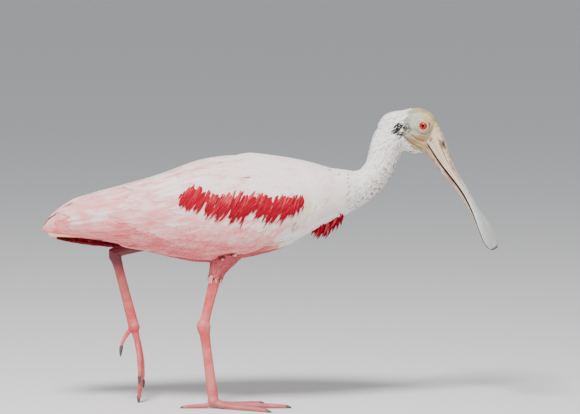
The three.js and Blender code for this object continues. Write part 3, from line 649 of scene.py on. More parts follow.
def body_feathers(name, p, length, width, tone, lift):
    """Small blades from roots p along the coat's lie, each point set over the nearest skin."""
    flow = lie_of_coat(p)
    flow = flow + rng.normal(0, 0.07, flow.shape)
    grid = np.empty((len(p), COAT_STEPS, 3, 3))
    for k in range(len(p)):
        at, way = Vector(p[k] * MM), Vector(flow[k]).normalized()
        for i, u in enumerate(np.linspace(0, 1, COAT_STEPS)):
            near, normal, _, _ = skin_tree.find_nearest(at)
            way = (way - normal * way.dot(normal)).normalized()
            aside = normal.cross(way)
            half = width[k] / 2 * (0.5 + 0.5 * min(1, 2.2 * u)) * min(1, mix(1, 0.3, (u - 0.6) / 0.4))
            for j, s in enumerate((-1, 0, 1)):
                height = 0.05 + lift[k] * u + 0.22 * (s == 0)
                off = aside * (s * half) + normal * height - way * (abs(s) * half * 0.5 * u)
                grid[k, i, j] = near / MM + off
            at = near + way * (length[k] / (COAT_STEPS - 1) * MM)
    return feather_mesh(name, grid, 0.2, tone, body_place(p))


EARS = [(159, -20, 349), (153, 24, 352)]


def ear_distance(p):
    """1 at the edge of the dark patch behind each ear, and 0 at its middle."""
    return np.min([np.linalg.norm((p - ear) / (8, 14, 11), axis=1) for ear in EARS], axis=0)


def coat_gap(p):
    gap = mix(5.15, 2.55, ease(60, 110, p[:, 0]))
    gap = mix(gap, 2.1, ease(335, 350, p[:, 2]))
    rear = (p[:, 0] < -172) & (p[:, 2] < 216)
    bare = bareness(p) > rng.uniform(0.2, 0.9, len(p))
    bare |= ear_distance(p) < 0.7
    return np.where(bare | under_wing(p) | rear, 0, gap)


roots = scatter(coat_gap)
x, _, z = roots.T
on_neck = ease(70, 120, x)
size = mix(mix(22, 11, on_neck), 7.0, ease(335, 350, z)) * rng.uniform(0.85, 1.2, len(x))
# Low on the body, behind the breast, the coat deepens to rose: partly the coat's own pink, partly painted shade
# under the belly.
body_tone = ease(232, 196, z) * ease(60, 0, x) * 0.95 + 0.03
body_tone = np.clip(body_tone + rng.normal(0, 0.04, len(x)), 0, 1)
lift = mix(0.3, mix(1.2, 2.0, ease(300, 340, z)), rng.uniform(0, 1, len(x)) ** 2)
coat = body_feathers("body_feathers", roots, size, size * mix(0.36, 0.28, on_neck), body_tone, lift)

roots = scatter(lambda p: np.where(ear_distance(p) < rng.uniform(0.6, 1.2, len(p)), 1.5, 0))
count = len(roots)
ear_patch = body_feathers("ear_patch_feathers", roots, rng.uniform(4, 7, count), rng.uniform(0.8, 1.5, count),
                          np.zeros(count), rng.uniform(1.4, 2.2, count))

# %% [markdown]
# Longer feathers that stand free of the skin follow their own curves. Each curve needs to know which
# way its blade faces, so that its width is set across the curve.


# %% Free blades: tail, undertail coverts and breast tuft
def blades(name, paths, width, facing, tone, *, point=0.4, thick=0.3, across=3):
    """Blades along paths (feathers, steps, 3) in mm, facing the given way."""
    count, steps, _ = paths.shape
    ahead = unit(np.gradient(paths, axis=1))
    aside = unit(np.cross(ahead, np.broadcast_to(np.asarray(facing, float), (count, 3))[:, None]))
    up = unit(np.cross(aside, ahead))
    u = np.linspace(0, 1, steps)
    half = np.broadcast_to(width, count)[:, None] / 2
    half = half * mix(0.6, 1, ease(0, 0.4, u)) * mix(1, point, ease(0.6, 1, u))
    grid = np.empty((count, steps, across, 3))
    for j, s in enumerate(np.linspace(-1, 1, across)):
        lag = abs(s) ** 1.5 * half * u * 0.8
        grid[:, :, j] = paths + aside * (s * half)[..., None] + up * 0.4 * (1 - s * s) - ahead * lag[..., None]
    return feather_mesh(name, grid, thick, np.broadcast_to(tone, count), body_place(paths[:, 0]))


def curve_paths(first, middle, last, steps):
    """Smooth paths from arrays of first, middle and last points."""
    t = np.linspace(0, 1, steps)[None, :, None]
    control = 2 * middle - (first + last) / 2
    return (1 - t) ** 2 * first[:, None] + 2 * t * (1 - t) * control[:, None] + t * t * last[:, None]


LEG_DOWN, UNDERTAIL_PLUMES, TUFT_PLUMES = 56, 420, 150

turn = rng.uniform(0, 2 * np.pi, LEG_DOWN)
out = xyz(np.cos(turn), np.sin(turn), 0.0)
root = np.array([-70, -25, 0]) + out * (7.2, 5.6, 0) + xyz(0, 0, rng.uniform(163, 170, LEG_DOWN))
tip = np.array([-70, -25, 0]) + out * (8.0, 6.4, 0) + xyz(0, 0, root[:, 2] - rng.uniform(4, 8, LEG_DOWN))
leg_down = blades("leg_down", curve_paths(root, (root + tip) / 2 + out * 1.3, tip, 4), 2.2, out, 0.42,
                  point=0.3, thick=0.2)

tail_base = remeshed("tail_base", ["tail", "undertail_coverts"], voxel=1.2, smoothing=14, drawn_in=1.4)
body_map(tail_base)

k = np.linspace(-3.2, 3.2, 12)
root = xyz(-206, k * 4, 220.5 - 1.5 * np.abs(k))
tip = xyz(-281 + 1.2 * np.abs(k), k * 7, 219.8 - 1.1 * np.abs(k))
rectrices = blades("rectrices", curve_paths(root, (root + tip) / 2 + (0, 0, -1.2), tip, 8), 12.5, (0, 0, 1),
                   0.3 + 0.02 * k, point=0.55, across=5)

count = UNDERTAIL_PLUMES
x = rng.uniform(-258, -180, count)
y = rng.uniform(-1, 1, count) * mix(11, 27, ease(-262, -190, x))
length = np.minimum(rng.uniform(18, 30, count) * mix(0.6, 1, ease(-262, -225, x)), x + 268)
root = xyz(x, y, belly(x) + 1.2 + y * y / 75)
tip = xyz(x - length, y * 0.9, belly(x - length) - 0.8 + rng.uniform(-1.4, 1, count) + y * y / 70)
crissum = blades("undertail_plumes", curve_paths(root, (root + tip) / 2 + (0, 0, -0.7), tip, 5), 5.5,
                 (0, 0, -1), rng.uniform(0.3, 0.85, count), point=0.2)

count = TUFT_PLUMES
x = rng.uniform(55, 89, count)
y = -4 + rng.normal(0, 4.6, count)
z = belly(x) + 2.5 + rng.uniform(0, 6, count)
drop = rng.uniform(12, 27, count) * mix(1, 0.6, np.abs(x - 73) / 17)
root = xyz(x, y, z)
tip = xyz(x - rng.uniform(-1, 9, count), y * 1.15 + rng.normal(0, 2, count), np.maximum(z - drop, 208))
middle = (root + tip) / 2 + xyz(rng.uniform(0, 3.5, count), rng.normal(0, 1, count), 0)
tuft_tone = rng.uniform(0.5, 1, count) * np.where(rng.uniform(0, 1, count) < 0.2, 0.1, 1)
tuft = blades("breast_tuft_plumes", curve_paths(root, middle, tip, 6), rng.uniform(1.6, 3.0, count), (0, -1, 0),
              tuft_tone, point=0.12)
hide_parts("breast_tuft")

# %% [markdown]
# Bill, eyes and lids are closed surfaces through rings of points, shaped in the head's frame.


# %% Surfaces through rings
def ring_mesh(name, rings, tone=0.0):
    """A closed surface through rings of points (rings, around, 3) in mm, with its ends filled."""
    count, around, _ = rings.shape
    bm = bmesh.new()
    uv = bm.loops.layers.uv.new("OFBake")
    verts = [[bm.verts.new(p * MM) for p in ring] for ring in rings]
    for i in range(count - 1):
        for j in range(around):
            n = (j + 1) % around
            face = bm.faces.new((verts[i][j], verts[i][n], verts[i + 1][n], verts[i + 1][j]))
            for loop, (row, column) in zip(face.loops, ((i, j), (i, j + 1), (i + 1, j + 1), (i + 1, j))):
                loop[uv].uv = (column / around, row / (count - 1))
    for end in (0, -1):
        for loop in bm.faces.new(verts[end]).loops:
            loop[uv].uv = (0.5, abs(end))
    bmesh.ops.recalc_face_normals(bm, faces=bm.faces[:])
    mesh = new_mesh(name, bm)
    mark(mesh, "tone", np.broadcast_to(tone, count * around))
    return placed(name, mesh)


# %% [markdown]
# The bill is narrow in its middle and widens to a flat spoon. Both mandibles follow one bent line.
# A groove runs beside the upper mandible's edge, and low cross ridges roughen its base.

# %% Bill
LINE = np.array([(14, -6), (24.8, -21.3), (38.8, -43.8), (64.3, -77.5), (78.8, -101.9), (91.7, -123.8),
                 (98, -137), (104.4, -150)])
along_line = np.concatenate([[0], np.cumsum(np.linalg.norm(np.diff(LINE, axis=0), axis=1))])
along_line /= along_line[-1]
line_x, line_z = [through(list(zip(along_line, LINE[:, i]))) for i in (0, 1)]
bill_wide = through([(0, 13), (0.12, 12.5), (0.25, 10), (0.42, 7.8), (0.58, 8), (0.68, 11), (0.76, 17.5),
                     (0.83, 23.5), (0.89, 26), (0.94, 25), (0.975, 19.5), (1, 9)])
upper_high = through([(0, 21), (0.12, 17.5), (0.25, 11.5), (0.38, 6.6), (0.5, 4.6), (0.7, 3.4), (0.9, 3),
                      (1, 2)])
lower_high = through([(0, 13), (0.12, 10.5), (0.25, 8.4), (0.42, 6.8), (0.6, 5), (0.75, 3.4), (0.9, 2.6),
                      (1, 1.6)])
mouth_gap = through([(0, 0.15), (0.15, 0.3), (0.35, 0.8), (0.6, 0.7), (0.8, 0.3), (1, 0.2)])
BILL_RINGS, BILL_AROUND = 150, 56


def mandible(name, sign, high):
    """The upper mandible for sign 1 and the lower one for -1."""
    s = 1 - (1 - np.linspace(0, 1, BILL_RINGS)) ** 1.25
    ahead = unit(xyz(line_x(s + 0.004) - line_x(s - 0.004), 0, line_z(s + 0.004) - line_z(s - 0.004)))
    out = xyz(-ahead[:, 2], 0, ahead[:, 0]) * sign
    angle = np.arange(BILL_AROUND) / BILL_AROUND * 2 * np.pi
    c, q = np.cos(angle), np.sin(angle)
    upward, t = np.maximum(q, 0), s[:, None]
    edge = np.where(q > 0, np.sign(c) * np.abs(c) ** 0.8, c)
    lift = high(t) * upward ** 0.9 * (0.75 + 0.25 * q) + mouth_gap(t) + 0.25 - 0.25 * np.maximum(-q, 0)
    lift = lift + 0.32 * np.sin(t * 165) * (1 - ease(0.2, 0.42, t)) * upward
    groove = -0.55 * swell(np.abs(edge) - 0.86, 0.05) * (q > 0) * ease(0.1, 0.25, t)
    if sign > 0:
        nail = 0.7 * (ease(0.94, 0.975, t) - ease(0.985, 1, t)) * swell(edge, 0.25) * (q > 0)
        nostril = -1.2 * swell(t - 0.16, 0.03) * swell(np.abs(edge) - 0.42, 0.08) * (q > 0)
        lift = lift + groove + nail + nostril
    else:
        lift = lift + groove * 0.4
    points = xyz(line_x(s), 0, line_z(s))[:, None] + out[:, None] * lift[..., None]
    points[..., 1] += (bill_wide(t) - (0.8 if sign < 0 else 0)) * edge
    return ring_mesh(name, in_world(points if sign > 0 else points[:, ::-1]), np.repeat(s, BILL_AROUND))


upper = mandible("upper_mandible", 1, upper_high)
lower = mandible("lower_mandible", -1, lower_high)
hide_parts("upper_bill")
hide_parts("lower_bill")
print("bill made")

# %% [markdown]
# Each eye is a ball with a slightly raised clear front. The tone attribute holds the distance from the
# pupil's centre, in mm, which the eye's colours follow. Lids are rings of skin folds round it.

# %% Eyes and lids
def eyeball(name, side):
    t = np.linspace(0.02, np.pi - 0.02, 40)[:, None]
    turn = np.linspace(0, 2 * np.pi, 48, endpoint=False)
    bulge = EYE_RADIUS + 0.35 * swell(t, 0.6)
    ball = xyz(np.sin(t) * np.cos(turn), np.cos(t) * side, np.sin(t) * np.sin(turn)) * bulge[..., None]
    off = np.repeat(np.where(t < np.pi / 2, np.sin(t) * bulge, 9), 48)
    return ring_mesh(name, in_world(ball + EYE_AT * (1, side, 1)), off)


def lid_ring(name, side):
    """A low broad fold round the eye: a ring whose two open ends are joined."""
    turn = np.linspace(0, 2 * np.pi, 72, endpoint=False)[:, None]
    angle = np.linspace(0, 2 * np.pi, 14, endpoint=False)
    reach = 6.1 - 0.4 * np.sin(turn) ** 2
    body = 0.95 + 0.08 * np.sin(turn * 9)
    r = reach + body * 1.3 * np.cos(angle)
    y = EYE_AT[1] + 4.0 + body * 0.9 * np.sin(angle) - 0.25 * (r - reach)
    rings = xyz(EYE_AT[0] + r * np.cos(turn), side * y, EYE_AT[2] + r * np.sin(turn))
    piece = ring_mesh(name, in_world(np.concatenate([rings, rings[:1]])))
    bm = bmesh.new()
    bm.from_mesh(piece.data)
    caps = [face for face in bm.faces if len(face.verts) > 4]
    bmesh.ops.delete(bm, geom=caps, context="FACES_ONLY")
    bmesh.ops.remove_doubles(bm, verts=bm.verts[:], dist=0.02 * MM)
    bmesh.ops.recalc_face_normals(bm, faces=bm.faces[:])
    bm.to_mesh(piece.data)
    bm.free()
    return piece


eyes = [eyeball("eye_ball_" + word, side) for word, side in SIDES.items()]
lids = [lid_ring("eyelids_" + word, side) for word, side in SIDES.items()]
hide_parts("eye_right")
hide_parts("eye_left")
print("eyes made")

# %% [markdown]
# The legs keep the solid's shape. Their scales are real relief: plates across the front of the shank
# and toes, and a net of small round scales elsewhere.


# %% Legs, feet and claws
def scaled_legs(name, nodes):
    piece = remeshed(name, nodes, voxel=0.65, smoothing=4, drawn_in=0.0)
    body_map(piece)
    mesh = piece.data
    p, n = read(mesh.vertices, "co", 3) / MM, read(mesh.vertices, "normal", 3)
    plates = np.abs(np.sin(p[:, 2] * 0.85)) ** 0.5 * np.clip(n[:, 0], 0, 1)
    net = np.abs(np.sin(p[:, 2] * 1.5 + np.sin(p[:, 1] * 1.6)) * np.sin(p[:, 1] * 1.7 + p[:, 2] * 0.7))
    toes = np.abs(np.sin((p[:, 0] + 0.5 * np.abs(p[:, 1] + 24)) * 1.1)) ** 0.5 * np.clip(n[:, 2], 0, 1)
    on_foot = 1 - ease(12, 24, p[:, 2]) if "right" in name else 1 - ease(84, 98, p[:, 2])
    relief = mix(plates * 0.3 + net * 0.16, toes * 0.28, on_foot) - 0.2
    floor = ease(0, 1.5, p[:, 2])
    p = p + n * (relief * floor)[:, None]
    p[:, 2] = np.maximum(p[:, 2], 0)
    mesh.vertices.foreach_set("co", (p * MM).astype(np.float32).ravel())
    mesh.update()
    return piece


def claw(number, tip, behind, radius, length=11.0):
    """A short curved cone round the end of a toe that comes from behind."""
    tip = np.array(tip, float)
    way = unit(tip - behind)
    aside = unit(np.cross(way, (0.0, 0.1, 1.0)))
    up = np.cross(aside, way)
    t = np.linspace(0, 1, 8)[:, None]
    angle = np.linspace(0, 2 * np.pi, 12, endpoint=False)
    r = radius * (1 - t) ** 0.42 * ease(-0.25, 0.2, t) + 0.12
    middle = tip - way * (length - 2) + way * length * t + up * (0.5 * np.sin(np.pi * t))
    rings = middle[:, None] + (r * np.cos(angle))[..., None] * aside + (r * np.sin(angle))[..., None] * up
    rings[..., 2] = np.maximum(rings[..., 2], 0.05)
    return ring_mesh(f"claw_{number}", rings)


CLAWS = [((-167.5, 23, 1.2), (-166.5, 23, 12), 2.9), ((-162, 34, 19), (-163, 32, 50), 2.7),
         ((-166, 12.5, 27), (-166, 14, 56), 2.6), ((-190, 23, 60.5), (-188.6, 23, 74), 2.6, 15.0)]
RIGHT_FOOT = np.array([-72.0, -24.0, 1.0])
for heading, length, radius in ((0, 96, 2.6), (27, 80, 2.5), (-30, 72, 2.4), (178, 40, 2.3)):
    way = np.array([math.cos(math.radians(heading)), -math.sin(math.radians(heading)), 0])
    CLAWS.append((RIGHT_FOOT + way * length, RIGHT_FOOT + way * (length - 12) + (0, 0, 1.5), radius))
claws = [claw(i + 1, *data) for i, data in enumerate(CLAWS)]

legs = [scaled_legs("leg_skin_" + word, [f"shank_{word}", f"tarsus_{word}", f"foot_{word}"])
        for word in SIDES]

# %% [markdown]
# Colours are worked out by small shader graphs. Value wraps one socket, so that sums, products and
# masks can be written as ordinary Python expressions, and each expression adds its own nodes.


# %% Writing shader maths as expressions
class Value:
    """One output socket of a shader tree."""

    def __init__(self, tree, socket):
        self.tree, self.socket = tree, socket

    def math(self, operation, other=None, swap=False):
        node = self.tree.nodes.new("ShaderNodeMath")
        node.operation = operation
        ends = (self,) if other is None else ((other, self) if swap else (self, other))
        for slot, end in zip(node.inputs, ends):
            join(self.tree, end, slot)
        return Value(self.tree, node.outputs[0])

    def __add__(self, other): return self.math("ADD", other)
    def __radd__(self, other): return self.math("ADD", other, True)
    def __sub__(self, other): return self.math("SUBTRACT", other)
    def __rsub__(self, other): return self.math("SUBTRACT", other, True)
    def __mul__(self, other): return self.math("MULTIPLY", other)
    def __rmul__(self, other): return self.math("MULTIPLY", other, True)
    def abs(self): return self.math("ABSOLUTE")
    def sin(self): return self.math("SINE")


def join(tree, value, slot):
    """Link a wrapped socket, or set a plain number or colour."""
    if isinstance(value, Value):
        tree.links.new(value.socket, slot)
    elif isinstance(value, tuple) and len(value) == 3 and slot.type == "RGBA":
        slot.default_value = (*value, 1)
    else:
        slot.default_value = value


class Shader:
    """A new material with its own small toolbox."""

    def __init__(self, name, **constants):
        self.material = bpy.data.materials.new(name)
        self.material.use_nodes = True
        self.tree = self.material.node_tree
        self.surface = self.tree.nodes["Principled BSDF"]
        for slot, value in constants.items():
            join(self.tree, value, self.surface.inputs[slot.replace("_", " ")])

    def node(self, kind, settings=None, output=0, **inputs):
        made = self.tree.nodes.new("ShaderNode" + kind)
        for key, value in (settings or {}).items():
            setattr(made, key, value)
        for key, value in inputs.items():
            slot = made.inputs[int(key[1:])] if key[1:].isdigit() else made.inputs[key.replace("_", " ")]
            join(self.tree, value, slot)
        return Value(self.tree, made.outputs[output])

    def mix(self, amount, a, b):
        """Colours a to b."""
        return self.node("Mix", {"data_type": "RGBA"}, output=2, i0=amount, i6=a, i7=b)

    def step(self, value, low, high):
        """0 below low and 1 above high, eased between."""
        return self.node("MapRange", {"interpolation_type": "SMOOTHSTEP"}, i0=value, i1=low, i2=high)

    def place(self):
        return self.node("TexCoord", output=3)

    def noise(self, scale, detail=3.0, at=None, stretch=None):
        at = at or self.place()
        if stretch:
            at = self.node("Mapping", i0=at, i3=stretch)
        return self.node("TexNoise", Vector=at, Scale=scale, Detail=detail)

    def axes(self, vector):
        split = self.tree.nodes.new("ShaderNodeSeparateXYZ")
        join(self.tree, vector, split.inputs[0])
        return [Value(self.tree, out) for out in split.outputs]

    def spot(self, place, radius, squash=(1, 1, 1), wobble=0.0):
        """A soft spot, with place and radius in mm."""
        centre, narrow = tuple(np.array(place, float) * MM), tuple(1 / v for v in squash)
        off = self.node("VectorMath", {"operation": "SUBTRACT"}, i0=self.place(), i1=centre)
        off = self.node("VectorMath", {"operation": "MULTIPLY"}, i0=off, i1=narrow)
        far = self.node("VectorMath", {"operation": "LENGTH"}, output=1, i0=off) + wobble
        return 1 - self.step(far, radius * 0.4 * MM, radius * 1.6 * MM)

    def attribute(self, title):
        return self.node("Attribute", {"attribute_name": title}, output=2)

    def vane(self):
        """Across and along a blade, each from 0 to 1."""
        return self.axes(self.node("UVMap", {"uv_map": "Vane"}))[:2]

    def around(self):
        """How far round a surface of rings, from 0 to 1."""
        return self.axes(self.node("UVMap", {"uv_map": "OFBake"}))[0]

    def finish(self, colour, roughness, bump=None, strength=0.3, depth=0.5):
        """Set colour and roughness, and let bump raise the surface by up to depth mm."""
        join(self.tree, colour, self.surface.inputs["Base Color"])
        join(self.tree, roughness, self.surface.inputs["Roughness"])
        if bump is not None:
            normal = self.node("Bump", Strength=strength, Distance=depth * MM, Height=bump)
            join(self.tree, normal, self.surface.inputs["Normal"])
        return self.material


def dress(pieces, material):
    for piece in pieces:
        piece.data.materials.append(material)


# %% [markdown]
# A feather's colour follows its tone: white, then pink, then rose. Fine barbs slant from the shaft to
# the edge, the shaft is a thin pale line, and the middle of each blade holds more pink than its edge.


# %% Feather materials
SWEEP = math.radians(-20)
WHITE_DOWN, WRIST = (0.88, 0.84, 0.8), (44, -48, 258)


def feather_material(name, pale, middle, deep, barbs=60.0, streak=0.25, shaft=0.25, rim=0.2, patchy=1.0,
                     speckled=False, creamy=False):
    s = Shader(name, Specular_IOR_Level=0.12)
    across, along = s.vane()
    off = (across - 0.5).abs() * 2
    tone = s.attribute("tone")
    swept = s.node("Mapping", i0=s.place(), i2=(0.0, SWEEP, 0.0), i3=(0.16, 1.0, 1.0))
    drift = (s.noise(55.0) - 0.5) * 0.6 + (s.noise(150.0, 2.0, swept) - 0.5) * 1.2
    heart = 1 - s.step(off, 0.1, 0.8)
    level = tone + drift * 0.75 * patchy + heart * streak * tone - along * 0.1
    colour = s.mix(s.step(level, 0.0, 0.5), pale, middle)
    colour = s.mix(s.step(level, 0.45, 1.0), colour, deep)
    lines = ((along + off * 0.22) * barbs * 6.283).sin() * 0.5 + 0.5
    split = s.noise(160.0, 2.0)
    line = 1 - s.step(off, 0.03, 0.1)
    colour = s.mix(lines * split * 0.16, colour, tuple(c * 0.72 for c in middle))
    colour = s.mix(line * shaft, colour, tuple(min(1, c * 1.1) for c in pale))
    colour = s.mix(s.step(off, 0.8, 1.0) * rim, colour, pale)
    if creamy:
        colour = s.mix(s.spot(WRIST, 9, (0.8, 1.6, 1.7)) * 0.55, colour, (0.78, 0.66, 0.36))
    if speckled:
        x, _, z = s.axes(s.place())
        front = s.step(x * 0.75 - z * 0.66, -0.108, -0.082) * s.step(x, 0.06, 0.12)
        grain = s.step(s.noise(330.0, 4.0), 0.45, 0.65)
        colour = s.mix(grain * (front * 0.75 + 0.12), colour, (0.26, 0.19, 0.14))
    return s.finish(colour, 0.7, lines * 0.5 + split * 0.3 + line * 0.8, strength=0.35, depth=0.4)


dress(wing_feathers, feather_material("pink_plumage", (0.92, 0.82, 0.78), (0.88, 0.36, 0.34),
                                      (0.76, 0.1, 0.13), creamy=True))
# The body plumage's dark deep rose is partly the coat's own colour and partly painted shade low on the belly.
dress([coat, leg_down], feather_material("body_plumage", (0.92, 0.89, 0.85), (0.82, 0.32, 0.3),
                                         (0.46, 0.05, 0.07), barbs=14.0, shaft=0.05, patchy=0.3, speckled=True))
dress(bars + [crissum, tuft], feather_material("crimson_plumage", (0.62, 0.06, 0.075), (0.4, 0.0, 0.018),
                                               (0.26, 0.0, 0.01), barbs=10.0, shaft=0.0, streak=0.1, rim=0.0,
                                               patchy=0.4))
dress([rectrices], feather_material("tail_plumage", (0.8, 0.62, 0.46), (0.85, 0.42, 0.2), (0.8, 0.3, 0.1)))
dress([ear_patch], feather_material("black_plumage", (0.03, 0.028, 0.026), (0.02, 0.02, 0.02),
                                    (0.01, 0.01, 0.01), barbs=10.0, shaft=0.0))


def ground_material(name, crimson=False):
    """Skin under feathers, coloured as the coat over it."""
    s = Shader(name, Sheen_Weight=0.2, Specular_IOR_Level=0.2)
    z = s.axes(s.place())[2]
    fine = s.noise(400.0, 2.0, stretch=(0.3, 1.0, 1.0))
    colour = s.mix(1 - s.step(z, 0.19, 0.3), WHITE_DOWN, (0.75, 0.3, 0.28))
    if crimson:
        colour = s.mix(s.step(z, 0.214, 0.222), (0.5, 0.03, 0.05), (0.8, 0.5, 0.35))
    return s.finish(s.mix(fine * 0.3, colour, (0.62, 0.4, 0.38)), 0.8, fine)


dress(bases, ground_material("wing_down"))
dress([tail_base], ground_material("tail_down", crimson=True))
print("feathers coloured")

# %% [markdown]
# The bare face is pale grey-green, more yellow on the forehead, with a dark mottled patch behind the
# ear. Each mark is a soft spot at a place in millimetres, and noise makes its edge uneven.


# %% Skin, horn, eye and leg materials
GREY_GREEN, BLACK = (0.38, 0.39, 0.28), (0.015, 0.015, 0.015)
FACE_MARKS = [
    # place, radius, squash, strength, colour
    ((198, -4, 366), 18, (1, 2, 1), 1.0, (0.6, 0.46, 0.2)),          # yellow forehead
    ((188, -12, 324), 15, (1.3, 2, 1), 1.0, (0.5, 0.37, 0.16)),      # yellow chin
    ((208, -8, 337), 12, (1, 2, 1), 1.0, (0.6, 0.42, 0.24)),         # bill's root
    ((173, -20, 360), 12, (1, 2, 1), 0.7, (0.4, 0.46, 0.45)),        # blue-grey temple
    ((191, -20, 352), 10, (1, 1, 1), 0.4, (0.5, 0.33, 0.2)),         # round the eye
    ((186, -18, 337), 5, (1.9, 2, 0.9), 0.85, (0.5, 0.19, 0.04)),    # orange cheek
    ((175, -18, 333), 4, (1.8, 2, 0.9), 0.6, (0.28, 0.18, 0.08)),    # brown jaw
]


def skin_material():
    s = Shader("bird_skin", Specular_IOR_Level=0.35)
    fine, broad = s.noise(900.0), s.noise(120.0, 4.0)

    def spot(place, radius, squash):
        return s.spot(place, radius, squash, wobble=(broad - 0.5) * (radius * 0.9 * MM))

    face = GREY_GREEN
    for place, radius, squash, strength, tint in FACE_MARKS:
        face = s.mix(spot(place, radius, squash) * strength, face, tint)
    face = s.mix(s.step(broad, 0.5, 0.72) * 0.4, face, (0.3, 0.27, 0.16))
    hairs = s.noise(170.0, 4.0, stretch=(0.3, 1.0, 0.8))
    face = s.mix(s.step(hairs, 0.47, 0.6) * 0.5, face, (0.2, 0.13, 0.07))
    # Painted shade: the skin turns dark brown where the head's relief sinks, in its creases and grooves.
    face = s.mix(s.step(s.attribute("sunk"), 0.08, 0.6) * 0.8, face, (0.13, 0.07, 0.04))
    speck = s.step(s.noise(330.0, 4.0), 0.42, 0.52)
    dark = spot(EARS[0], 8.5, (0.9, 2, 1.4)) + spot(EARS[1], 8.5, (0.9, 2, 1.4))
    for patch in (spot((169, -20, 350), 4.5, (1, 2, 1.4)), dark):
        face = s.mix(patch * speck, face, BLACK)
    z = s.axes(s.place())[2]
    plume = s.mix(1 - s.step(z, 0.185, 0.215), (0.88, 0.85, 0.81), (0.7, 0.3, 0.28))
    plume = s.mix(dark, plume, (0.03, 0.03, 0.03))
    bare = s.step(s.attribute("bare") + (broad - 0.5) * 0.6, 0.2, 0.6)
    colour = s.mix(fine * 0.25, s.mix(bare, plume, face), (0.4, 0.33, 0.26))
    return s.finish(colour, 0.85 - bare * 0.3, fine + broad, strength=0.4, depth=0.6)


def horn_material(name, upper_side):
    s = Shader(name, Specular_IOR_Level=0.35)
    along, turn = s.attribute("tone"), s.around()
    broad, fine = s.noise(90.0, 4.0), s.noise(700.0)
    streaks = s.noise(260.0, stretch=(0.4, 1.0, 0.25))
    blade = (0.62, 0.64, 0.6) if upper_side else (0.54, 0.4, 0.31)
    base = (0.72, 0.54, 0.37) if upper_side else (0.56, 0.37, 0.22)
    colour = s.mix(s.step(along + (broad - 0.5) * 0.3, 0.25, 0.7), base, blade)
    colour = s.mix(s.step(broad, 0.5, 0.7) * 0.5, colour, (0.84, 0.78, 0.7))
    colour = s.mix((1 - s.step(along, 0.02, 0.14)) * 0.85, colour, (0.6, 0.49, 0.27))
    if upper_side:
        off = (turn - 0.25).abs()
        lines = 1 - s.step((off - 0.115 + (broad - 0.5) * 0.03).abs(), 0.002, 0.012)
        lines = lines + 0.6 * (1 - s.step((off - 0.19).abs(), 0.002, 0.01))
        shown = s.step(along, 0.06, 0.14) * (1 - s.step(along, 0.4, 0.7))
        colour = s.mix(lines * shown * 0.95, colour, (0.14, 0.06, 0.04))
    marks = s.step(streaks, 0.53, 0.62) * (1 - s.step(along, 0.25, 0.62))
    colour = s.mix(marks * 0.85, colour, (0.22, 0.1, 0.06))
    colour = s.mix(s.step(s.noise(300.0, 4.0), 0.5, 0.64) * 0.4, colour, (0.4, 0.37, 0.34))
    # Painted shade: a near-black spot over each nostril's hollow.
    for y in (-5.2, 5.2):
        nostril = in_world(np.array([41, y, -19.5]))
        colour = s.mix(s.spot(nostril, 1.8, (0.8, 1, 1.8)), colour, (0.05, 0.03, 0.03))
    turn = turn if upper_side else 1 - turn
    # Painted shade: both mandibles turn near black along their cutting edges at each side, where the mouth's
    # gap lies, short of the spoon's tip.
    inside = s.step(turn, 0.485, 0.51) + (1 - s.step(turn, 0.0, 0.018))
    colour = s.mix(inside * (1 - s.step(along, 0.97, 1.0)) * 0.95, colour, (0.03, 0.015, 0.012))
    colour = s.mix(s.step(along, 0.978, 0.992) * 0.85, colour, (0.06, 0.05, 0.05))
    return s.finish(colour, 0.35 + fine * 0.25, fine * 0.5 + streaks, strength=0.35, depth=0.6)


def eye_material():
    s = Shader("eye", Specular_IOR_Level=0.3, Coat_Weight=0.1, Coat_Roughness=0.03)
    off = s.attribute("tone")
    ragged = off + (s.noise(500.0, 4.0) - 0.5) * 1.4
    iris = s.mix(s.step(ragged, 2.1, 3.2), (0.5, 0.03, 0.0), (0.42, 0.0, 0.0))
    iris = s.mix(s.step(off, 4.3, 5.2), iris, (0.05, 0.0, 0.0))
    colour = s.mix(s.step(off, 1.9, 2.1), (0.0, 0.0, 0.0), iris)
    return s.finish(s.mix(s.step(off, 5.1, 5.5), colour, (0.4, 0.3, 0.24)), 0.07)


def leg_material():
    s = Shader("leg_skin", Specular_IOR_Level=0.4)
    x, _, z = s.axes(s.place())
    broad, fine = s.noise(60.0, 4.0), s.noise(800.0)
    colour = s.mix(s.step(broad, 0.35, 0.65), (0.6, 0.07, 0.075), (0.72, 0.17, 0.16))
    colour = s.mix(s.step(fine, 0.5, 0.8) * 0.5, colour, (0.5, 0.12, 0.12))
    colour = s.mix((1 - s.step(z, 0.0, 0.03)) * 0.45, colour, (0.3, 0.16, 0.15))
    plates = s.step((z * 850.0 + (broad - 0.5) * 6).sin().abs(), 0.25, 0.0)
    colour = s.mix(plates * 0.35, colour, (0.34, 0.05, 0.06))
    shaded = s.step(z, 0.155, 0.182) * (1 - s.step(x, -0.16, -0.14))
    colour = s.mix(shaded * 0.9, colour, (0.12, 0.02, 0.035))
    return s.finish(colour, 0.5 + fine * 0.15, fine, depth=0.4)


def claw_material():
    s = Shader("claw_horn", Specular_IOR_Level=0.45)
    grain = s.noise(600.0)
    colour = s.mix(grain, (0.05, 0.035, 0.035), (0.16, 0.1, 0.09))
    return s.finish(colour, 0.4, grain, strength=0.2, depth=0.3)


def lid_material():
    s = Shader("lid_skin", Specular_IOR_Level=0.4)
    colour = s.mix(s.noise(220.0), (0.56, 0.48, 0.33), (0.42, 0.22, 0.14))
    return s.finish(colour, 0.5, s.noise(900.0), strength=0.4)


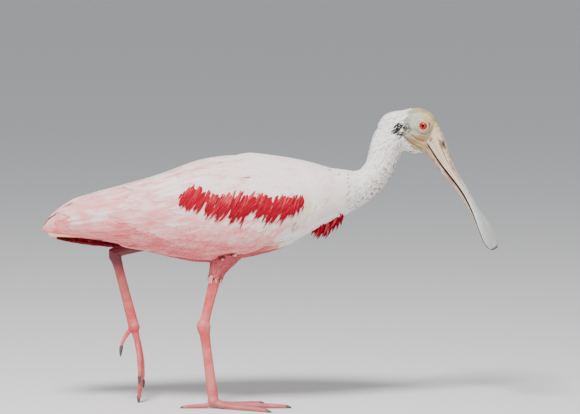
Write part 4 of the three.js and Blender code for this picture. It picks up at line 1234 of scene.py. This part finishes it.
points = read(skin.data.vertices, "co", 3) / MM
mark(skin.data, "bare", bareness(points))
# The sunk attribute steers the painted shade in the head's creases.
mark(skin.data, "sunk", np.clip(-head_relief(points), 0, 1))
dress([skin], skin_material())
dress([upper], horn_material("upper_horn", True))
dress([lower], horn_material("lower_horn", False))
dress(eyes, eye_material())
dress(lids, lid_material())
dress(legs, leg_material())
dress(claws, claw_material())

SLOTS = {"white_plumage": [skin, coat, leg_down, ear_patch], "pink_plumage": wing_feathers + bases,
         "tail_plumage": [tail_base, rectrices], "red_plumage": bars + [crissum, tuft],
         "bill_horn": [upper, lower], "eye": eyes, "bare_head_skin": lids, "leg_skin": legs + claws}
for title, pieces in SLOTS.items():
    for piece in pieces:
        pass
print("materials made")

# %% [markdown]
# The bird stands on a plain pale floor, in soft light from above and from the camera's side, and a
# long lens looks at it almost level, as in the photo.

# %% Floor, lights and camera
bm = bmesh.new()
bmesh.ops.create_grid(bm, x_segments=1, y_segments=1, size=40)
floor = bpy.data.objects.new("floor", new_mesh("floor", bm))
bpy.context.scene.collection.objects.link(floor)
dress([floor], Shader("floor", Roughness=0.9, Base_Color=(0.8, 0.79, 0.77)).material)


def aimed(name, data, place, target):
    """A lamp or camera at a place, turned towards its target."""
    item = bpy.data.objects.new(name, data)
    item.location = place
    item.rotation_euler = (Vector(target) - Vector(place)).to_track_quat("-Z", "Y").to_euler()
    bpy.context.scene.collection.objects.link(item)
    return item


BODY_MIDDLE = (0, 0, 0.25)
for name, place, size, power in (("sky", (-0.5, -1.3, 2.2), 0.7, 105), ("side", (0.9, -2.2, 0.9), 1.2, 10)):
    lamp = bpy.data.lights.new(name, "AREA")
    lamp.shape, lamp.size, lamp.energy = "DISK", size, power
    aimed(name, lamp, place, BODY_MIDDLE)

world = bpy.data.worlds.new("pale_room")
world.use_nodes = True
background = world.node_tree.nodes["Background"]
background.inputs["Color"].default_value = (0.9, 0.93, 1, 1)
background.inputs["Strength"].default_value = 0.5
bpy.context.scene.world = world

camera_data = bpy.data.cameras.new("camera")
camera_data.lens, camera_data.sensor_width = 200, 36
CAMERA_X = 0.02375
bpy.context.scene.camera = aimed("camera", camera_data, (CAMERA_X, -4.013, 0.602), (CAMERA_X, 0, 0.2504))
